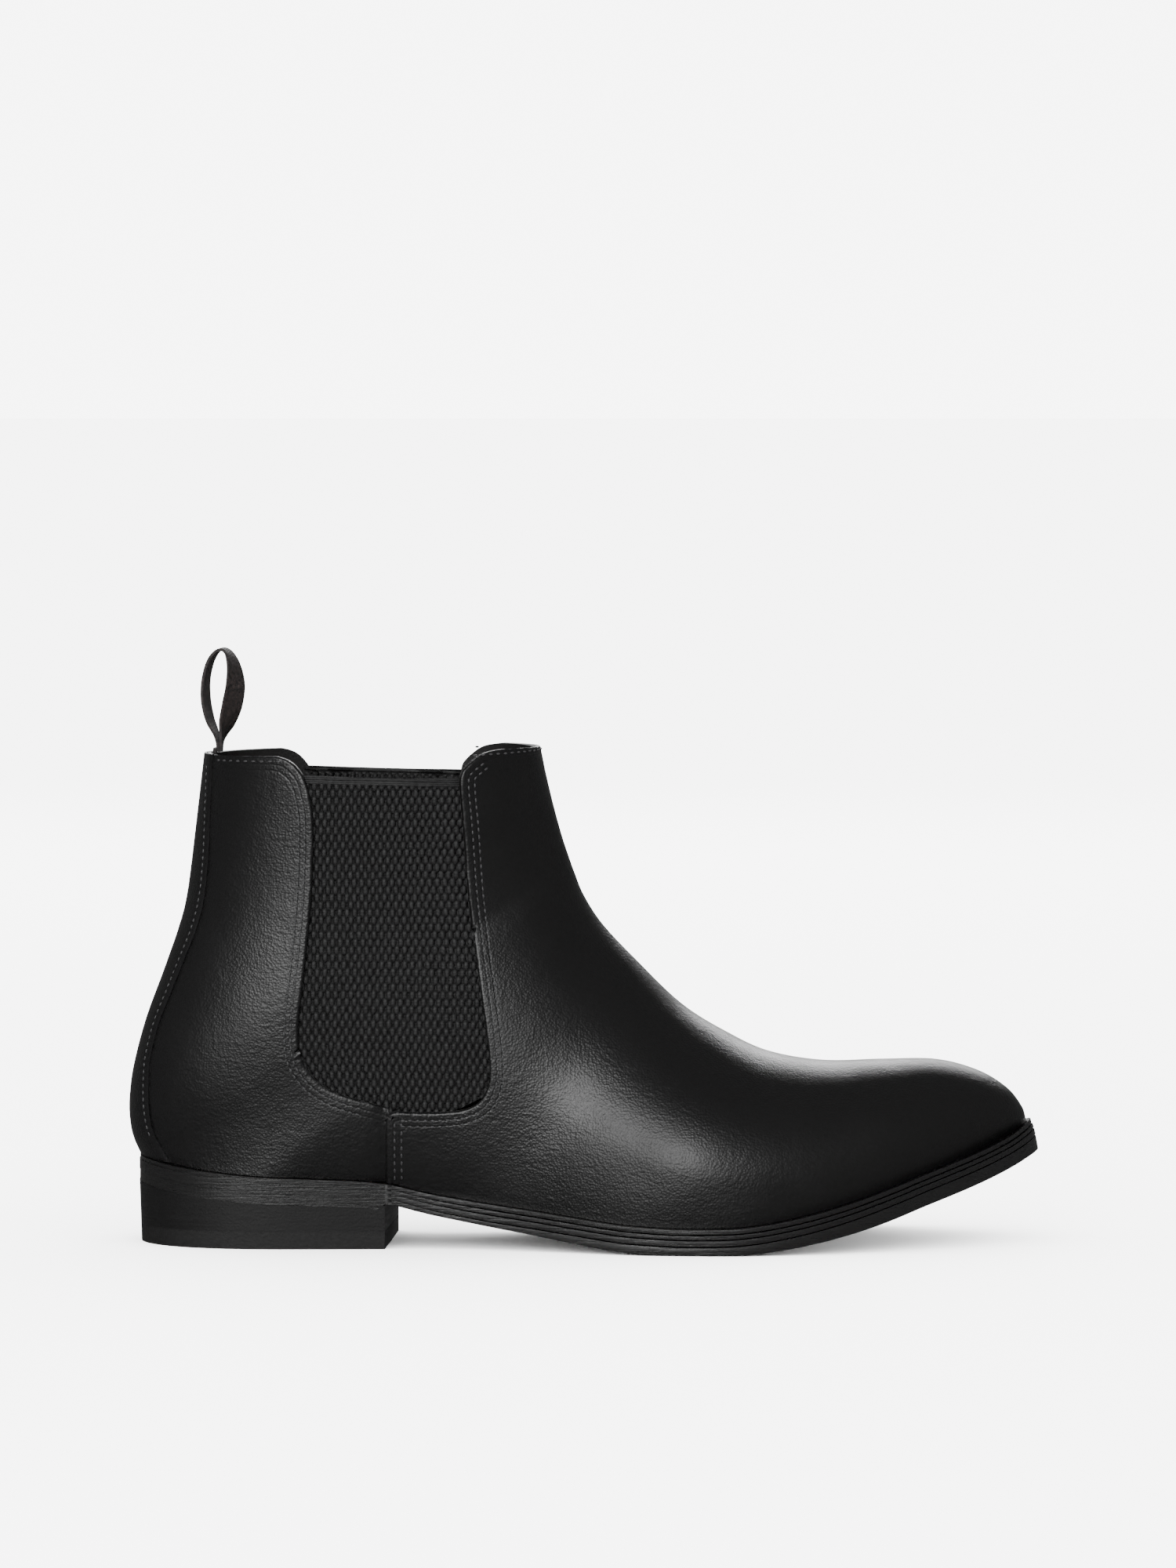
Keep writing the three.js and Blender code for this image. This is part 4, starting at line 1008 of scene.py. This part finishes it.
# %% Heel lifts
HEEL_TURN = np.array([0, 0.06, 0.26, 0.65, 1.2, 2.1, 3.4, 5.2, 7.6, 10.6, 14.4, 19, 24.5, 31])
HEEL_STATIONS = np.unique(np.concatenate([SOLE_TAIL + HEEL_TURN, np.linspace(40, 86, 16)]))
BREAST_SLANT, HEEL_TAPER = 3.4, 0.035


def heel_lift(name, low, high, material, bevel=0.03):
    """One lift between two heights. It tapers to the ground, and its breast slants towards the inner side."""
    xs = HEEL_STATIONS
    bm = bmesh.new()
    across = 13
    bmesh.ops.create_grid(bm, x_segments=len(xs) - 1, y_segments=across - 1, size=0.5)
    co = np.array([v.co for v in bm.verts])
    i, t = np.rint((co[:, 0] + 0.5) * (len(xs) - 1)).astype(int), co[:, 1] + 0.5
    x = xs[i]

    def face_at(height):
        breast = np.clip((x - 70) / 16, 0, 1) * BREAST_SLANT * t
        z = height(x + breast) if callable(height) else np.full(x.shape, float(height))
        taper = HEEL_TAPER * np.clip(20 - z, 0, None)
        left, right = sole_outside(x) + taper, sole_inside(x) - taper
        inwards = (1 - x / 86) * taper
        return placed(np.stack([x + breast + inwards, left + (right - left) * t, z], -1))

    tops, lows = face_at(high), face_at(low)
    for vertex, p in zip(bm.verts, tops):
        vertex.co = p
    give_thickness(bm, lows)
    round_rim(bm, bevel, 1)
    return finish_piece(name, bm, material, angle=25)


def seat(x):
    """The seat lift's top: close under the outsole, and up into it near the breast, so no light shows."""
    return np.maximum(feather_height(x) - 8.85 + 1.7 * fades(x, 74, 84), 12.4)


lifts = [
    heel_lift("heel_top_lift_rubber", 0.0, 5.8, RUBBER, 0.35),
    heel_lift("heel_lift_lower", 5.82, 8.8, HEEL_EDGE),
    heel_lift("heel_lift_middle", 8.8, 11.8, HEEL_EDGE),
    heel_lift("heel_lift_seat", 11.8, seat, HEEL_EDGE),
]
print("heel faces:", [len(lift.data.polygons) for lift in lifts])

# %% [markdown]
# ## Foot bed
# Inside, the foot stands on the insole, with a soft leather pad under the heel. Both are cut to the feather
# line, a few millimetres in, so they are layers made by the sole's own helper.

# %% Insole and heel pad
def inside_feather(margin):
    """The feather line's two sides, drawn in by a margin."""
    return (lambda x: feather_outside(x) + margin), (lambda x: feather_inside(x) - margin)


insole_places, pad_places = np.linspace(9, 294, 60), np.linspace(10, 82, 30)
insole = sole_layer("insole", 2.4, 0.2, BOARD, 0.3, insole_places, outlines=inside_feather(3.2))
pad = sole_layer(
    "heel_pad_leather", 3.9, 2.7, LINING, 0.3, pad_places, bevel=0.4, outlines=inside_feather(3.9)
)
print("insole faces:", len(insole.data.polygons))

# %% [markdown]
# ## Pull loop
# The loop is one length of ribbed webbing. Its two ends meet at the tab that is sewn in at the collar, and
# the front strand is turned to show its face. A curve with a flat profile would do, but its twist is hard
# to steer. So the centre line and the turn of the ribbon are given at a few points, and a narrow grid is
# laid along them.

# %% The pull loop
# x, z and turn of the ribbon about its own line, in degrees
LOOP_LINE = [
    (30.0, 163.6, 0), (29.9, 166.6, 2), (29.2, 169.6, 6), (27.2, 174.2, 12), (25.9, 180.5, 14),
    (25.9, 187.0, 12), (27.2, 192.8, 10), (29.2, 196.3, 6), (31.4, 197.5, 0), (33.6, 196.0, -10),
    (35.2, 191.6, -24), (35.7, 185.4, -38), (34.6, 178.8, -42), (32.9, 173.0, -30), (31.8, 169.4, -12),
    (31.1, 166.6, -3), (31.0, 163.6, 0),
]
WEB_WIDTH, WEB_THICK, WEB_RIB = 9.0, 0.9, 0.07


def pull_loop():
    """The ribbon: every second row across it stands a little proud, which gives the ribs."""
    line = sampled(LOOP_LINE, 9)
    rows, across = len(line), 15
    bm = bmesh.new()
    bmesh.ops.create_grid(bm, x_segments=rows - 1, y_segments=across - 1, size=0.5)
    step = np.gradient(line[:, :2], axis=0)
    step /= np.linalg.norm(step, axis=1, keepdims=True)
    geom = bmesh.ops.extrude_face_region(bm, geom=bm.faces[:], use_keep_orig=True)["geom"]
    for vertex in (g for g in geom if isinstance(g, bmesh.types.BMVert)):
        vertex.co.z = 1
    for vertex in bm.verts:
        i, w = round((vertex.co.x + 0.5) * (rows - 1)), vertex.co.y * WEB_WIDTH
        turn = math.radians(line[i, 2])
        side = np.array([step[i, 1], 0.0, -step[i, 0]])
        wide = np.array([0.0, math.cos(turn), 0.0]) + side * math.sin(turn)
        thin = side * math.cos(turn) - np.array([0.0, math.sin(turn), 0.0])
        rib = WEB_RIB * math.cos(i * math.pi) if abs(w) < WEB_WIDTH / 2 - 0.5 else 0
        t = (vertex.co.z - 0.5) * (WEB_THICK + 2 * rib)
        vertex.co = placed(np.array([line[i, 0], 0.0, line[i, 1]]) + wide * w + thin * t)
    bmesh.ops.recalc_face_normals(bm, faces=bm.faces[:])
    return finish_piece("pull_loop_webbing", bm, WEBBING, angle=70)


loop = pull_loop()
print("loop faces:", len(loop.data.polygons))

# %% [markdown]
# ## Camera and floor
# Boots are shown from the side with a long lens a few metres off, a little above the collar's height and
# aimed slightly down, so the widths hardly show. The floor is one large pale face with no edge in sight.
# Black leather would mirror it as grey, so it is left out of reflections.

# %% Camera and floor
EYE, TARGET = placed((153.3, -2800.0, 319.0)), placed((153.3, 0.0, 152.5))
LENS, FILM, FLOOR_SIZE = 193.0, 36, 60
scene = bpy.context.scene
camera_data = bpy.data.cameras.new("camera")
camera = bpy.data.objects.new("camera", camera_data)
scene.collection.objects.link(camera)
scene.camera = camera
camera_data.sensor_fit = "VERTICAL"
camera_data.sensor_height = camera_data.sensor_width = FILM
camera_data.lens = LENS
camera_data.clip_end = 20
camera.location = Vector(EYE)
camera.rotation_euler = (Vector(TARGET) - Vector(EYE)).to_track_quat("-Z", "Y").to_euler()

bm = bmesh.new()
bmesh.ops.create_grid(bm, x_segments=1, y_segments=1, size=FLOOR_SIZE)
FLOOR, _, _, _ = new_material("pale_floor", (0.95, 0.95, 0.95), 0.9, Specular_IOR_Level=0.0)
floor = finish_piece("floor", bm, FLOOR)
floor.visible_glossy = False
print("camera distance, m:", round((Vector(TARGET) - Vector(EYE)).length, 2))

# %% [markdown]
# ## The studio's walls
# A pale room all round lights the boot softly, but a black shoe in a white tent looks grey. A studio hangs
# dark cloth where the leather would mirror the walls. Here the world does that: Light Path gives the eye a
# bright ground, gives everything its general light, and gives mirrored rays a dim room.

# %% The studio's walls
SEEN, GENERAL, MIRRORED = 7.2, 8.5, 0.16
world = bpy.data.worlds.new("studio")
scene.world = world
world.use_nodes = True
nodes, links = world.node_tree.nodes, world.node_tree.links
seen = nodes["Background"]
seen.inputs["Color"].default_value = (1, 1, 1, 1)
seen.inputs["Strength"].default_value = SEEN
mirrored = nodes.new("ShaderNodeBackground")
mirrored.inputs["Strength"].default_value = MIRRORED
general = nodes.new("ShaderNodeBackground")
general.inputs["Strength"].default_value = GENERAL
path = nodes.new("ShaderNodeLightPath")
mix_glossy, mix_seen = nodes.new("ShaderNodeMixShader"), nodes.new("ShaderNodeMixShader")
links.new(path.outputs["Is Glossy Ray"], mix_glossy.inputs["Fac"])
links.new(general.outputs[0], mix_glossy.inputs[1])
links.new(mirrored.outputs[0], mix_glossy.inputs[2])
links.new(path.outputs["Is Camera Ray"], mix_seen.inputs["Fac"])
links.new(mix_glossy.outputs[0], mix_seen.inputs[1])
links.new(seen.outputs[0], mix_seen.inputs[2])
links.new(mix_seen.outputs[0], nodes["World Output"].inputs["Surface"])


# %% [markdown]
# ## Lamps
# Three soft boxes draw the highlights: one behind for the line along the instep and toe, a large one at the
# side for the shine on quarter and vamp, and a weak low one for the sole's edge.

# %% Soft boxes
def lamp(name, place, aim, size, power):
    """A soft box at a place, turned to its aim; places in metres, power in watts."""
    data = bpy.data.lights.new(name, "AREA")
    data.shape = "RECTANGLE"
    data.size, data.size_y = size
    data.energy = power
    light = bpy.data.objects.new(name, data)
    light.location = place
    light.rotation_euler = (Vector(aim) - Vector(place)).to_track_quat("-Z", "Y").to_euler()
    scene.collection.objects.link(light)
    print(name, "watts", power)


lamp("back_light", (0.1, 2.2, 0.95), (0.05, 0, 0.05), (1.5, 0.35), 20)
lamp("side_light", (-0.58, -2.0, 0.85), (-0.02, 0, 0.08), (0.9, 0.9), 32)
lamp("low_light", (-1.1, -1.9, 0.45), (-0.05, 0, 0.08), (0.6, 0.4), 0.9)

# %% [markdown]
# ## Moving with the frame
# The forepart bends up at the ball, and the rear of the collar opens backwards. The soft pieces that cross a
# bend are only baked in place here, and the frame's plain nodes they stand for are hidden.


def stands_for(nodes):
    """Hides the frame's plain nodes that the piece stands for."""
    if nodes:
        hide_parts(*nodes)


def bend_ball(piece, *nodes):
    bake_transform(piece)
    stands_for(nodes)


def bend_collar(piece, *nodes):
    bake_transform(piece)
    stands_for(nodes)


def ride_root(piece, *nodes):
    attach(piece, "root")
    stands_for(nodes)


bend_ball(vamp, "vamp", "vamp_toe")
bend_ball(vamp_lining_piece, "vamp_lining", "vamp_lining_toe")
bend_ball(welt, "welt_forepart", "welt_lateral", "welt_medial", "heel_rand")
bend_ball(midsole_upper, "midsole_forepart", "midsole_backpart")
bend_ball(midsole_lower)
bend_ball(outsole, "outsole_forepart", "outsole_backpart")
bend_ball(insole, "insole_forepart", "insole_backpart")
for word in SIDES:
    bend_collar(quarters[word], f"quarter_{word}", f"quarter_top_{word}")
    bend_collar(quarter_linings[word], f"quarter_lining_{word}", f"quarter_lining_top_{word}")
    bend_collar(elastics[word], f"gusset_{word}")
    bend_collar(quarter_stitches[word])
bend_collar(strip, "back_strip", "back_strip_top")
bend_collar(strip_stitches)
ride_root(vamp_stitches)
ride_root(pad, "heel_pad")
for lift, node in zip(lifts, ("heel_top_lift", "heel_lift_1", "heel_lift_2", "heel_wedge_lift")):
    ride_root(lift, node)
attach(loop, "pull_loop")
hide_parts("pull_loop")

# %% [markdown]

# %% [markdown]
# ## Hidden pieces
# The stiffeners, the cork, the shank, the screw and the nails are never seen, and the tab hardly. The
# frame's own shapes do for them, so they only get their finishes.

# %% Finishes for the pieces kept from the frame
KEPT = {
    "toe_puff": STIFFENER, "heel_counter": STIFFENER, "cork_filler": CORK, "steel_shank": STEEL,
    "heel_screw": STEEL, "pull_loop_tab": WEBBING, **{f"nail_{i}": STEEL for i in range(1, 8)},
}
for node, material in KEPT.items():
    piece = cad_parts[node]
    piece.data.materials.clear()
    piece.data.materials.append(material)
print("kept pieces:", len(KEPT))
